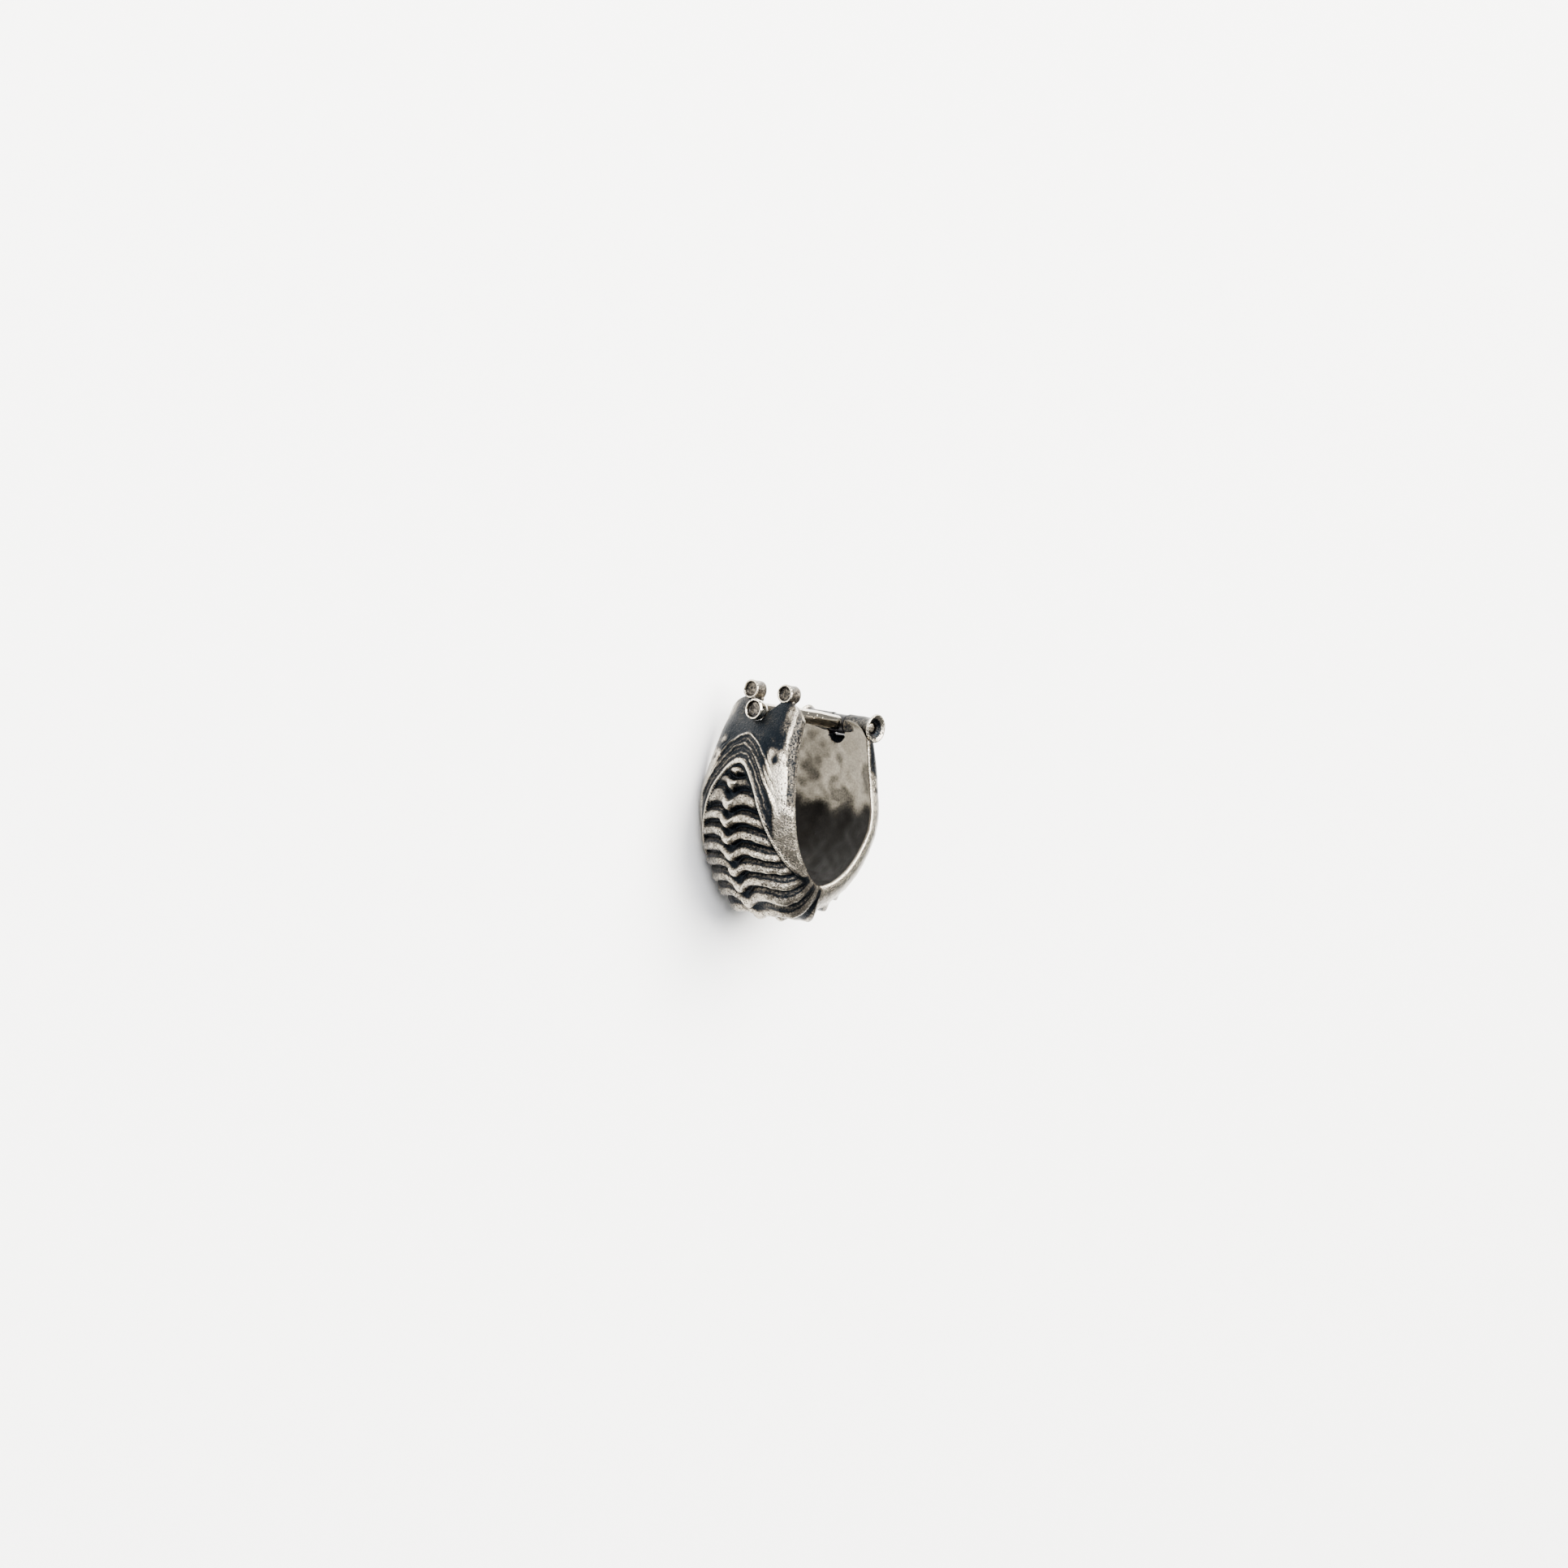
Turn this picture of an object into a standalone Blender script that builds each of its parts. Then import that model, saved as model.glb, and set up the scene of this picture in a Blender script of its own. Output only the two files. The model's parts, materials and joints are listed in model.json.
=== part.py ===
"""Septum clicker in cast and darkened silver.

A broad horseshoe band with a hinged round bar across its open end. The band is
one casting: a dished inside, a domed outside with a ribbed spine, arched folds
and two smooth side strips, two cupped studs on the notched leg and the hinge
barrel on the other leg. The bar turns on a pin in the barrel and drops into
the notch.

X runs along the bar from the notched leg to the hinged leg. Y runs from the
ribbed bottom to the leg tops. The band lies on one rim, so Z runs across it.
"""
import math

import bmesh
import bpy
import numpy as np

MM = 0.001

# The opening of the band, measured on its rim
LEG_HEIGHT = 14.0 * MM
HINGED_LEG_SHORTER = 0.7 * MM
OPENING_HALF = 4.9 * MM
OPENING_HALF_TOP = 3.55 * MM
WIDEST_HEIGHT = 6.2 * MM
BOTTOM_ROUNDNESS = 1.67
LEG_PULL_IN = 1.7

# The band's own width and walls
BAND_HALF_WIDTH = 4.85 * MM
RIM_THICKNESS = 0.45 * MM
CREST_THICKNESS = 3.1 * MM
INNER_DISH = 0.7 * MM
SHOULDER_DROP = 0.085

# Cast relief
RIB_PITCH = 1.06 * MM
RIB_HEIGHT = 0.76 * MM
RIB_SINK = 0.4 * MM
LIP_HEIGHT = 0.2 * MM
FOLD_HEIGHT = 0.18 * MM
SPINE_HEIGHT = 0.2 * MM
SWELL_HEIGHT = 0.35 * MM

# The wearing bar
BAR_RADIUS = 0.6 * MM
BAR_BELOW_TOP = 0.9 * MM
BAR_HEIGHT = LEG_HEIGHT - BAR_BELOW_TOP
BAR_ARCH = 0.12 * MM
HEAD_RADIUS = 0.84 * MM
HEAD_LENGTH = 1.2 * MM
HEAD_REACH = 6.35 * MM
HEAD_CUP_DEPTH = 0.5 * MM
CUP_WALL = 0.17 * MM

# The hinge on the plain leg: a tube with flared ends
HINGE_PAST_RIM = 1.5 * MM
HINGE_OUT = OPENING_HALF_TOP + HINGE_PAST_RIM
BARREL_RADIUS = 0.86 * MM
BARREL_HALF_LENGTH = 3.68 * MM
FLARE_RADIUS = 1.2 * MM
FLARE_LENGTH = 0.5 * MM
FLARE_EDGE = 0.14 * MM
KNUCKLE_RADIUS = 0.8 * MM
KNUCKLE_HALF_LENGTH = 0.75 * MM
KNUCKLE_CLEARANCE = 0.12 * MM
RECESS_BELOW_BAR = 1.6 * MM
RECESS_PAST_AXIS = 0.1 * MM
PIN_RADIUS = 0.42 * MM
PIN_CLEARANCE = 0.06 * MM
PIN_RECESS = 0.4 * MM
BARREL_MOUTH_RADIUS = 1.0 * MM

# The notched leg
NOTCH_DEPTH = 1.78 * MM
NOTCH_RADIUS = 0.78 * MM
NOTCH_HALF_TOP = 1.6 * MM
STUD_RADIUS = 0.78 * MM
STUD_LENGTH = 1.3 * MM
STUD_REACH = 4.95 * MM
STUD_SPACING = 3.54 * MM
STUD_SINK = 0.12 * MM
STUD_CUP_DEPTH = 0.35 * MM

# Sections of one leg, from the bottom centre to the leg top. Columns: share of
# the way along the rim, half-width share, crest thickness share, dish share,
# fullness of the outside across the band
SECTIONS = (
    (0.00, 0.930, 0.97, 0.6, 2.9),
    (0.10, 0.970, 0.93, 0.6, 2.6),
    (0.20, 1.000, 0.89, 0.7, 2.3),
    (0.34, 1.000, 0.87, 0.9, 2.2),
    (0.46, 1.000, 0.83, 1.0, 2.2),
    (0.56, 0.950, 0.78, 1.0, 2.4),
    (0.66, 0.875, 0.72, 1.0, 2.7),
    (0.79, 0.800, 0.68, 1.0, 3.0),
    (0.86, 0.775, 0.57, 0.9, 3.2),
    (0.93, 0.755, 0.47, 0.9, 3.2),
    (1.00, 0.740, 0.40, 0.9, 3.2),
)

# Arched folds above the ribs. Columns: place between the inner lip and the
# outer line, height share, share of the width where the fold has died away
FOLDS = (
    (0.14, 0.5, 0.86),
    (0.36, 0.6, 0.80),
    (0.62, 1.1, 0.90),
    (1.02, 0.9, 0.76),
)

# The lip round the ribs and the outermost fold line, as shares of a leg: their
# tops on the spine, and how fast they run down towards the rims
LIP_APEX = 0.655
LIP_SPREAD = 0.53
LIP_POWER = 1.85
LINE_APEX = 0.787
LINE_SPREAD = 0.35

# Widths of the relief's forms, as shares of a leg or of the half-width
LIP_WIDTH = 0.022
LIP_CREST = 0.015
RIB_FADE = 0.05
FOLD_WIDTH = 0.09
FOLD_FADE = 0.25
SPINE_WIDTH = 0.09
HUMP_WIDTH = 0.13
PLAIN_EDGE = 0.14
SWELL_PLACE = 0.68
SWELL_WIDTH = 0.26
SWELL_LEVEL = 0.03
SWELL_REACH = 0.08

# The hinged leg is fuller outside than the other, with a wider smooth side strip:
# the strip's extra width, the extra fullness, and the shares of the leg that they
# grow over and where the fullness starts to go again
HINGED_STRIP = 0.22
HINGED_STRIP_GROWS = 0.05
HINGED_FULLER = 1.0
HINGED_FULLER_GROWS = 0.3
HINGED_FULLER_ENDS = 0.8

# The run of the ribs across the band, as shares of a leg
RIB_RISE = 0.025
RIB_FALL = 0.045
RIB_CROWDING = 0.06

WELD = 0.001 * MM
RIB_STEPS = 4
TOP_STEPS = 6
OUTER_CELLS = 28
INNER_CELLS = 8
ROUND_SIDES = 24


def rim_path(samples=600):
    """One leg of the rim from the bottom centre: X, Y and the length so far.

    The bottom is a quarter of a slightly pointed ellipse and the leg above it
    pulls in towards the top.
    """
    turn = np.linspace(0.0, math.pi / 2, samples)
    power = 2.0 / BOTTOM_ROUNDNESS
    curve_x = OPENING_HALF * np.sin(turn) ** power
    curve_y = WIDEST_HEIGHT * (1.0 - np.clip(np.cos(turn), 0.0, 1.0) ** power)
    leg_y = np.linspace(WIDEST_HEIGHT, LEG_HEIGHT, samples)[1:]
    climb = (leg_y - WIDEST_HEIGHT) / (LEG_HEIGHT - WIDEST_HEIGHT)
    leg_x = OPENING_HALF - (OPENING_HALF - OPENING_HALF_TOP) * climb ** LEG_PULL_IN
    x = np.concatenate([curve_x, leg_x])
    y = np.concatenate([curve_y, leg_y])
    length = np.concatenate([[0.0], np.cumsum(np.hypot(np.diff(x), np.diff(y)))])
    return x, y, length


PATH_X, PATH_Y, PATH_LENGTH = rim_path()
LEG_LENGTH = PATH_LENGTH[-1]
HINGED_LENGTH = LEG_LENGTH - HINGED_LEG_SHORTER
SLOPE_X = np.gradient(PATH_X, PATH_LENGTH)
SLOPE_Y = np.gradient(PATH_Y, PATH_LENGTH)


def rim_point(share):
    """Rim point and outward direction at a signed share of a leg's length."""
    side = np.where(share < 0.0, -1.0, 1.0)
    along = np.clip(np.abs(share), 0.0, 1.0) * np.where(share < 0.0, LEG_LENGTH, HINGED_LENGTH)
    x = np.interp(along, PATH_LENGTH, PATH_X)
    y = np.interp(along, PATH_LENGTH, PATH_Y)
    run_x = np.interp(along, PATH_LENGTH, SLOPE_X)
    run_y = np.interp(along, PATH_LENGTH, SLOPE_Y)
    size = np.hypot(run_x, run_y)
    return side * x, y, side * run_y / size, -run_x / size


def section(share, column):
    """One column of the section table at a share of the way up a leg."""
    places = [row[0] for row in SECTIONS]
    values = [row[column] for row in SECTIONS]
    return np.interp(np.abs(share), places, values)


def smooth_step(value):
    value = np.clip(value, 0.0, 1.0)
    return value * value * (3.0 - 2.0 * value)


def soft_bump(value, width):
    """A bump, 1 at zero, that dies away over a width."""
    return np.exp(-((value / width) ** 2))


def rib_share(station, across):
    """Where a rib line that starts at a station on the spine crosses the band.

    Beside the spine the line rises a little. Towards the rim it falls to the
    bottom centre, where the ribs of both legs meet.
    """
    level = np.abs(station)
    in_ribs = smooth_step((LIP_APEX - level) / (LINE_APEX - LIP_APEX))
    beside_spine = 1.0 - soft_bump(across, HUMP_WIDTH)
    rise = RIB_RISE * beside_spine * smooth_step(0.5 * level / RIB_CROWDING)
    towards_rim = smooth_step((np.abs(across) - 0.3) / 0.65)
    fall = RIB_FALL * towards_rim * (1.0 - np.exp(-level / RIB_CROWDING))
    top = SHOULDER_DROP * level ** 10 * np.abs(across) ** 5
    return np.sign(station) * (level + (rise - fall) * in_ribs - top)


def relief(station, share, across):
    """Height of the cast relief on the outside, over the plain dome."""
    level = np.abs(share)
    side = np.abs(across)
    lip_level = LIP_APEX - LIP_SPREAD * side ** LIP_POWER
    line_level = LINE_APEX - LINE_SPREAD * side ** 2
    fold_place = (level - lip_level) / (line_level - lip_level)

    inside_ribs = smooth_step((lip_level - level) / RIB_FADE)
    pitch = RIB_PITCH / LEG_LENGTH
    wave = np.abs(np.cos(math.pi * (np.abs(station) / pitch - 0.5)))
    ribs = RIB_HEIGHT * wave ** 1.4 - RIB_SINK
    spine = SPINE_HEIGHT * soft_bump(across, SPINE_WIDTH) * wave
    plain_from = 1.0 - PLAIN_EDGE - HINGED_STRIP * smooth_step(share / HINGED_STRIP_GROWS)
    edge_fade = 1.0 - smooth_step((side - plain_from) / PLAIN_EDGE)
    beside_bottom = soft_bump(level - SWELL_LEVEL, SWELL_REACH) * soft_bump(side - SWELL_PLACE, SWELL_WIDTH)
    height = inside_ribs * (ribs * edge_fade + spine) + SWELL_HEIGHT * beside_bottom * edge_fade

    height = height + LIP_HEIGHT * soft_bump(level - lip_level - LIP_CREST, LIP_WIDTH) * edge_fade
    for place, share_of_height, gone in FOLDS:
        bump = soft_bump(fold_place - place, FOLD_WIDTH)
        fade = 1.0 - smooth_step((side - gone + FOLD_FADE) / FOLD_FADE)
        height = height + FOLD_HEIGHT * share_of_height * bump * fade
    return height


def outer_point(station, across):
    """A point on the outside of the band."""
    share = rib_share(station, across)
    x, y, out_x, out_y = rim_point(share)
    crest = CREST_THICKNESS * section(share, 2)
    fuller = smooth_step(share / HINGED_FULLER_GROWS)
    fuller = fuller - smooth_step((share - HINGED_FULLER_ENDS) / (1.0 - HINGED_FULLER_ENDS))
    fullness = section(share, 4) + HINGED_FULLER * fuller
    dome = np.clip(1.0 - np.abs(across) ** fullness, 0.0, 1.0) ** (1.7 / fullness)
    thick = RIM_THICKNESS + (crest - RIM_THICKNESS) * dome + relief(station, share, across)
    half = BAND_HALF_WIDTH * section(share, 1)
    return np.stack([x + out_x * thick, y + out_y * thick, across * half], axis=-1)


def inner_point(station, across):
    """A point on the dished inside of the band."""
    share = rib_share(station, across)
    x, y, out_x, out_y = rim_point(share)
    dish = INNER_DISH * section(share, 3) * (1.0 - across ** 2)
    half = BAND_HALF_WIDTH * section(share, 1)
    return np.stack([x + out_x * dish, y + out_y * dish, across * half], axis=-1)


def leg_stations():
    """Stations of one leg: close together in the ribs and folds, wide above."""
    pitch = RIB_PITCH / LEG_LENGTH
    close = np.arange(0.0, LINE_APEX + 0.03, pitch / RIB_STEPS)
    wide = np.linspace(close[-1], 1.0, TOP_STEPS + 1)[1:]
    return np.concatenate([close, wide])


def new_object(name, points, faces, material=None):
    """An object from points and faces, with its normals pointing out."""
    mesh = bpy.data.meshes.new(name)
    mesh.from_pydata([tuple(point) for point in points], [], faces)
    work = bmesh.new()
    work.from_mesh(mesh)
    bmesh.ops.remove_doubles(work, verts=work.verts, dist=WELD)
    bmesh.ops.recalc_face_normals(work, faces=work.faces)
    work.to_mesh(mesh)
    work.free()
    obj = bpy.data.objects.new(name, mesh)
    bpy.context.scene.collection.objects.link(obj)
    if material is not None:
        mesh.materials.append(material)
    return obj


def band_body(material):
    """The band as a closed ring of points carried round the horseshoe."""
    leg = leg_stations()
    stations = np.concatenate([-leg[:0:-1], leg])
    outer_across = np.sin(np.linspace(-1.0, 1.0, OUTER_CELLS + 1) * math.pi / 2 * 0.86)
    outer_across = outer_across / outer_across[-1]
    inner_across = np.linspace(1.0, -1.0, INNER_CELLS + 1)
    station_out, across_out = np.meshgrid(stations, outer_across, indexing="ij")
    station_in, across_in = np.meshgrid(stations, inner_across, indexing="ij")
    rings = np.concatenate(
        [outer_point(station_out, across_out), inner_point(station_in, across_in)], axis=1
    )
    rows, around = rings.shape[:2]
    faces = []
    for row in range(rows - 1):
        for place in range(around):
            after = (place + 1) % around
            faces.append((
                row * around + place,
                row * around + after,
                (row + 1) * around + after,
                (row + 1) * around + place,
            ))
    cells_per_inner = OUTER_CELLS / INNER_CELLS
    for row in (0, rows - 1):
        start = row * around
        for cell in range(INNER_CELLS):
            first = round(cell * cells_per_inner)
            last = round((cell + 1) * cells_per_inner)
            outside = [start + place for place in range(first, last + 1)]
            inside = [start + around - 1 - cell - 1, start + around - 1 - cell]
            faces.append(tuple(outside + inside))
    return new_object("band", rings.reshape(-1, 3), faces, material)


def turned(name, profile, centre, axis, sides=ROUND_SIDES, material=None):
    """A turned solid: a profile of (place along the axis, radius) pairs.

    The profile starts and ends on the axis, so the solid is closed.
    """
    points = []
    faces = []
    along = np.array(axis, dtype=float)
    aside = np.array((0.0, 1.0, 0.0)) if abs(along[1]) < 0.5 else np.array((0.0, 0.0, 1.0))
    over = np.cross(along, aside)
    for place, radius in profile:
        for step in range(sides):
            turn = 2.0 * math.pi * (step + 0.5) / sides
            offset = aside * math.cos(turn) + over * math.sin(turn)
            points.append(np.array(centre) + along * place + offset * radius)
    for ring in range(len(profile) - 1):
        for step in range(sides):
            after = (step + 1) % sides
            low = ring * sides
            high = low + sides
            if profile[ring][1] == 0.0:
                faces.append((low, high + after, high + step))
            elif profile[ring + 1][1] == 0.0:
                faces.append((low + step, low + after, high))
            else:
                faces.append((low + step, low + after, high + after, high + step))
    return new_object(name, points, faces, material)


def prism(name, outline, low, high, axis):
    """A straight prism from an outline, for cutting."""
    points = []
    for place in (low, high):
        for first, second in outline:
            if axis == "x":
                points.append((place, second, first))
            else:
                points.append((first, second, place))
    count = len(outline)
    faces = [tuple(range(count)), tuple(range(count, 2 * count))]
    for step in range(count):
        after = (step + 1) % count
        faces.append((step, after, count + after, count + step))
    return new_object(name, points, faces)


def weld(mesh):
    """Join the near-touching corners that a cut leaves."""
    work = bmesh.new()
    work.from_mesh(mesh)
    bmesh.ops.remove_doubles(work, verts=work.verts, dist=WELD)
    bmesh.ops.dissolve_degenerate(work, edges=work.edges, dist=WELD)
    work.to_mesh(mesh)
    work.free()


def combine(target, tool, operation):
    """Apply a Boolean of one solid with another, and remove the other."""
    modifier = target.modifiers.new(operation.lower(), "BOOLEAN")
    modifier.operation = operation
    modifier.solver = "EXACT"
    modifier.object = tool
    graph = bpy.context.evaluated_depsgraph_get()
    mesh = bpy.data.meshes.new_from_object(target.evaluated_get(graph))
    target.modifiers.clear()
    weld(mesh)
    old_mesh = target.data
    target.data = mesh
    mesh.name = old_mesh.name
    bpy.data.meshes.remove(old_mesh)
    bpy.data.objects.remove(tool)


def cup_profile(length, radius, depth):
    """Outline of a short round stud with a cup sunk in its outer end."""
    return (
        (0.0, 0.0),
        (0.0, radius - CUP_WALL / 2),
        (CUP_WALL / 2, radius),
        (length - CUP_WALL / 2, radius),
        (length, radius - CUP_WALL / 2),
        (length, radius - CUP_WALL),
        (length - 0.6 * depth, radius - 1.3 * CUP_WALL),
        (length - depth, 0.45 * radius),
        (length - depth, 0.0),
    )


def notch_outline():
    """The notch as seen along the bar: round below, flaring to the leg top."""
    centre = LEG_HEIGHT - NOTCH_DEPTH + NOTCH_RADIUS
    above = LEG_HEIGHT + BAR_RADIUS
    flare = math.atan2(NOTCH_HALF_TOP - NOTCH_RADIUS, LEG_HEIGHT - centre)
    reach = NOTCH_HALF_TOP + (above - LEG_HEIGHT) * math.tan(flare)
    outline = [(-reach, above)]
    for step in range(11):
        turn = math.pi + (math.pi * step) / 10
        outline.append((NOTCH_RADIUS * math.cos(turn), centre + NOTCH_RADIUS * math.sin(turn)))
    outline.append((reach, above))
    return outline


def recess_outline(half):
    """The finger recess under the bar, seen along the bar: round below."""
    centre = BAR_HEIGHT - RECESS_BELOW_BAR + half
    outline = [(-half, BAR_HEIGHT)]
    for step in range(9):
        turn = math.pi + math.pi * step / 8
        outline.append((half * math.cos(turn), centre + half * math.sin(turn)))
    outline.append((half, BAR_HEIGHT))
    return outline


def pocket_outline():
    """The knuckle's pocket seen along the pin: open inwards and upwards."""
    radius = KNUCKLE_RADIUS + KNUCKLE_CLEARANCE
    inner = HINGE_OUT - 2.0 * FLARE_RADIUS
    above = BAR_HEIGHT + 2.0 * FLARE_RADIUS
    below = BAR_HEIGHT - BAR_RADIUS - 2.0 * KNUCKLE_CLEARANCE
    outline = [(HINGE_OUT + radius, above), (inner, above), (inner, below)]
    start = math.pi + math.asin((BAR_HEIGHT - below) / radius)
    for step in range(11):
        turn = start + (2.0 * math.pi - start) * step / 10
        outline.append((HINGE_OUT + radius * math.cos(turn), BAR_HEIGHT + radius * math.sin(turn)))
    return outline


def add_hinge_barrel(band):
    """Solder on the flared barrel, then cut the knuckle's pocket and the bore."""
    centre = (HINGE_OUT, BAR_HEIGHT, 0.0)
    half = BARREL_HALF_LENGTH
    edge = half - FLARE_EDGE
    neck = half - FLARE_LENGTH
    outside = (
        (-half, 0.0), (-half, FLARE_RADIUS - FLARE_EDGE / 2), (-edge, FLARE_RADIUS), (-neck, BARREL_RADIUS),
        (neck, BARREL_RADIUS), (edge, FLARE_RADIUS), (half, FLARE_RADIUS - FLARE_EDGE / 2), (half, 0.0),
    )
    combine(band, turned("barrel", outside, centre, (0, 0, 1)), "UNION")
    gap = KNUCKLE_HALF_LENGTH + KNUCKLE_CLEARANCE
    combine(band, prism("pocket", pocket_outline(), -gap, gap, "z"), "DIFFERENCE")
    inner = HINGE_OUT - 2.0 * FLARE_RADIUS
    deep = HINGE_OUT + RECESS_PAST_AXIS
    combine(band, prism("recess", recess_outline(gap), inner, deep, "x"), "DIFFERENCE")
    bore = PIN_RADIUS + PIN_CLEARANCE
    end = half + FLARE_EDGE
    mouth = half - PIN_RECESS
    bore_profile = (
        (-end, 0.0), (-end, BARREL_MOUTH_RADIUS), (-mouth, bore),
        (mouth, bore), (end, BARREL_MOUTH_RADIUS), (end, 0.0),
    )
    combine(band, turned("bore", bore_profile, centre, (0, 0, 1)), "DIFFERENCE")


def stud_height():
    return LEG_HEIGHT + STUD_RADIUS - STUD_SINK


def add_notch_and_studs(band):
    """Cut the notch and solder a cupped stud on each of its shoulders."""
    inside = -0.5 * OPENING_HALF_TOP
    combine(band, prism("notch", notch_outline(), -2.0 * HEAD_REACH, inside, "x"), "DIFFERENCE")
    profile = cup_profile(STUD_LENGTH, STUD_RADIUS, STUD_CUP_DEPTH)
    for side in (-1, 1):
        foot = (-STUD_REACH + STUD_LENGTH, stud_height(), side * STUD_SPACING / 2)
        combine(band, turned("stud", profile, foot, (-1, 0, 0)), "UNION")


def build_bar(material):
    """The wearing bar: a slightly arched rod, its cupped head and its knuckle."""
    start = -HEAD_REACH + HEAD_LENGTH - CUP_WALL
    steps = 12
    rings = []
    for step in range(steps + 1):
        share = step / steps
        x = start + (HINGE_OUT - start) * share
        lift = BAR_ARCH * 4.0 * share * (1.0 - share)
        for side in range(ROUND_SIDES):
            turn = 2.0 * math.pi * (side + 0.5) / ROUND_SIDES
            rings.append((
                x,
                BAR_HEIGHT + lift + BAR_RADIUS * math.cos(turn),
                BAR_RADIUS * math.sin(turn),
            ))
    faces = [tuple(range(ROUND_SIDES))]
    faces.append(tuple(range(steps * ROUND_SIDES, (steps + 1) * ROUND_SIDES)))
    for step in range(steps):
        for side in range(ROUND_SIDES):
            after = (side + 1) % ROUND_SIDES
            low = step * ROUND_SIDES
            high = low + ROUND_SIDES
            faces.append((low + side, low + after, high + after, high + side))
    bar = new_object("bar", rings, faces, material)
    foot = (-HEAD_REACH + HEAD_LENGTH, BAR_HEIGHT, 0.0)
    head = cup_profile(HEAD_LENGTH, HEAD_RADIUS, HEAD_CUP_DEPTH)
    combine(bar, turned("head", head, foot, (-1, 0, 0)), "UNION")
    centre = (HINGE_OUT, BAR_HEIGHT, 0.0)
    half = KNUCKLE_HALF_LENGTH
    knuckle = ((-half, 0.0), (-half, KNUCKLE_RADIUS), (half, KNUCKLE_RADIUS), (half, 0.0))
    combine(bar, turned("knuckle", knuckle, centre, (0, 0, 1)), "UNION")
    bore = PIN_RADIUS + PIN_CLEARANCE
    end = 2.0 * half
    hole = ((-end, 0.0), (-end, bore), (end, bore), (end, 0.0))
    combine(bar, turned("hole", hole, centre, (0, 0, 1)), "DIFFERENCE")
    return bar


def build_pin(material):
    """The hinge pin, a little shorter than the barrel at both ends."""
    reach = BARREL_HALF_LENGTH - PIN_RECESS - PIN_CLEARANCE
    profile = ((-reach, 0.0), (-reach, PIN_RADIUS), (reach, PIN_RADIUS), (reach, 0.0))
    centre = (HINGE_OUT, BAR_HEIGHT, 0.0)
    return turned("hinge_pin", profile, centre, (0, 0, 1), material=material)


def metal(name, color, roughness):
    """A metal material with one colour."""
    material = bpy.data.materials.new(name)
    material.use_nodes = True
    shader = material.node_tree.nodes["Principled BSDF"]
    shader.inputs["Base Color"].default_value = (*color, 1.0)
    shader.inputs["Metallic"].default_value = 1.0
    shader.inputs["Roughness"].default_value = roughness
    material.diffuse_color = (*color, 1.0)
    return material


def place(obj, origin, lift):
    """Give an object its origin on a point and lay it on the ground plane."""
    for vertex in obj.data.vertices:
        vertex.co.x -= origin[0]
        vertex.co.y -= origin[1]
        vertex.co.z -= origin[2]
    obj.location = (origin[0], origin[1] + lift, origin[2] + BAND_HALF_WIDTH)


def finish(obj, angle=35.0):
    obj.data.shade_smooth()
    obj.data.set_sharp_from_angle(angle=math.radians(angle))


def main():
    for obj in list(bpy.data.objects):
        bpy.data.objects.remove(obj, do_unlink=True)
    darkened = metal("darkened_silver", (0.36, 0.34, 0.31), 0.38)
    polished = metal("polished_silver", (0.78, 0.74, 0.68), 0.22)
    wire = metal("pin_silver", (0.55, 0.52, 0.48), 0.3)

    band = band_body(darkened)
    lowest = min(vertex.co.y for vertex in band.data.vertices)
    add_hinge_barrel(band)
    add_notch_and_studs(band)
    bar = build_bar(polished)
    pin = build_pin(wire)

    highest = stud_height() + STUD_RADIUS
    lift = -0.5 * (lowest + highest)
    hinge = (HINGE_OUT, BAR_HEIGHT, 0.0)
    place(band, (0.0, 0.0, 0.0), lift)
    place(bar, hinge, lift)
    place(pin, hinge, lift)
    for obj in (band, bar, pin):
        finish(obj)


main()
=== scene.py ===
# %% [markdown]
# # A septum clicker in cast and darkened silver
#
# The ring is a broad horseshoe band, cast in one piece, with a hinged round bar
# across its open end. The band carries ribs and a row of knobs like a spine,
# arched folds above them, and two smooth side strips. The silver was blackened
# and then rubbed bright on everything that stands proud, so most of the work
# below is about two things: the height of the cast relief, and how much of the
# black is left at each point, with some painted highlights and shade on top.
#
# All sizes are in millimetres until the meshes are made. X runs along the bar,
# Y from the ribbed bottom to the leg tops, and Z across the band, which lies on
# its far rim.

# %%
import json
import math

import bmesh
import bpy
import numpy as np
from mathutils import Matrix, Vector, kdtree


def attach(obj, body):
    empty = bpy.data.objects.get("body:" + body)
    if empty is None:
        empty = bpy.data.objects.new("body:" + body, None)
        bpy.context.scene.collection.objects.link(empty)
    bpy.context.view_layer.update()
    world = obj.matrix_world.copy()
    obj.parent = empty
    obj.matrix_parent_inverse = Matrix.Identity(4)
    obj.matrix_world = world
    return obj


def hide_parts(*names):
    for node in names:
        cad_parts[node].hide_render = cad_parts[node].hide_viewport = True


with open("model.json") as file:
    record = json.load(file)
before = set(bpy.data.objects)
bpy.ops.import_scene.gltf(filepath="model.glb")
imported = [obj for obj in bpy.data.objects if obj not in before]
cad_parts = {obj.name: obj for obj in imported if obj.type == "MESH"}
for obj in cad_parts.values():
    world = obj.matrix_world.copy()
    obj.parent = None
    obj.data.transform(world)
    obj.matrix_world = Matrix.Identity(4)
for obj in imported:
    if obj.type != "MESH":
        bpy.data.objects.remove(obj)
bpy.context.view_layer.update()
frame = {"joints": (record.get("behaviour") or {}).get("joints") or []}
MM = 0.001

# %% [markdown]
# ## Sizes
#
# These are the frame's own sizes. The hinge in the frame says where the model
# stands: everything is drawn with the inner bottom of the rim at zero and the
# mid-plane at zero, then moved by `SHIFT`.

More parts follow.
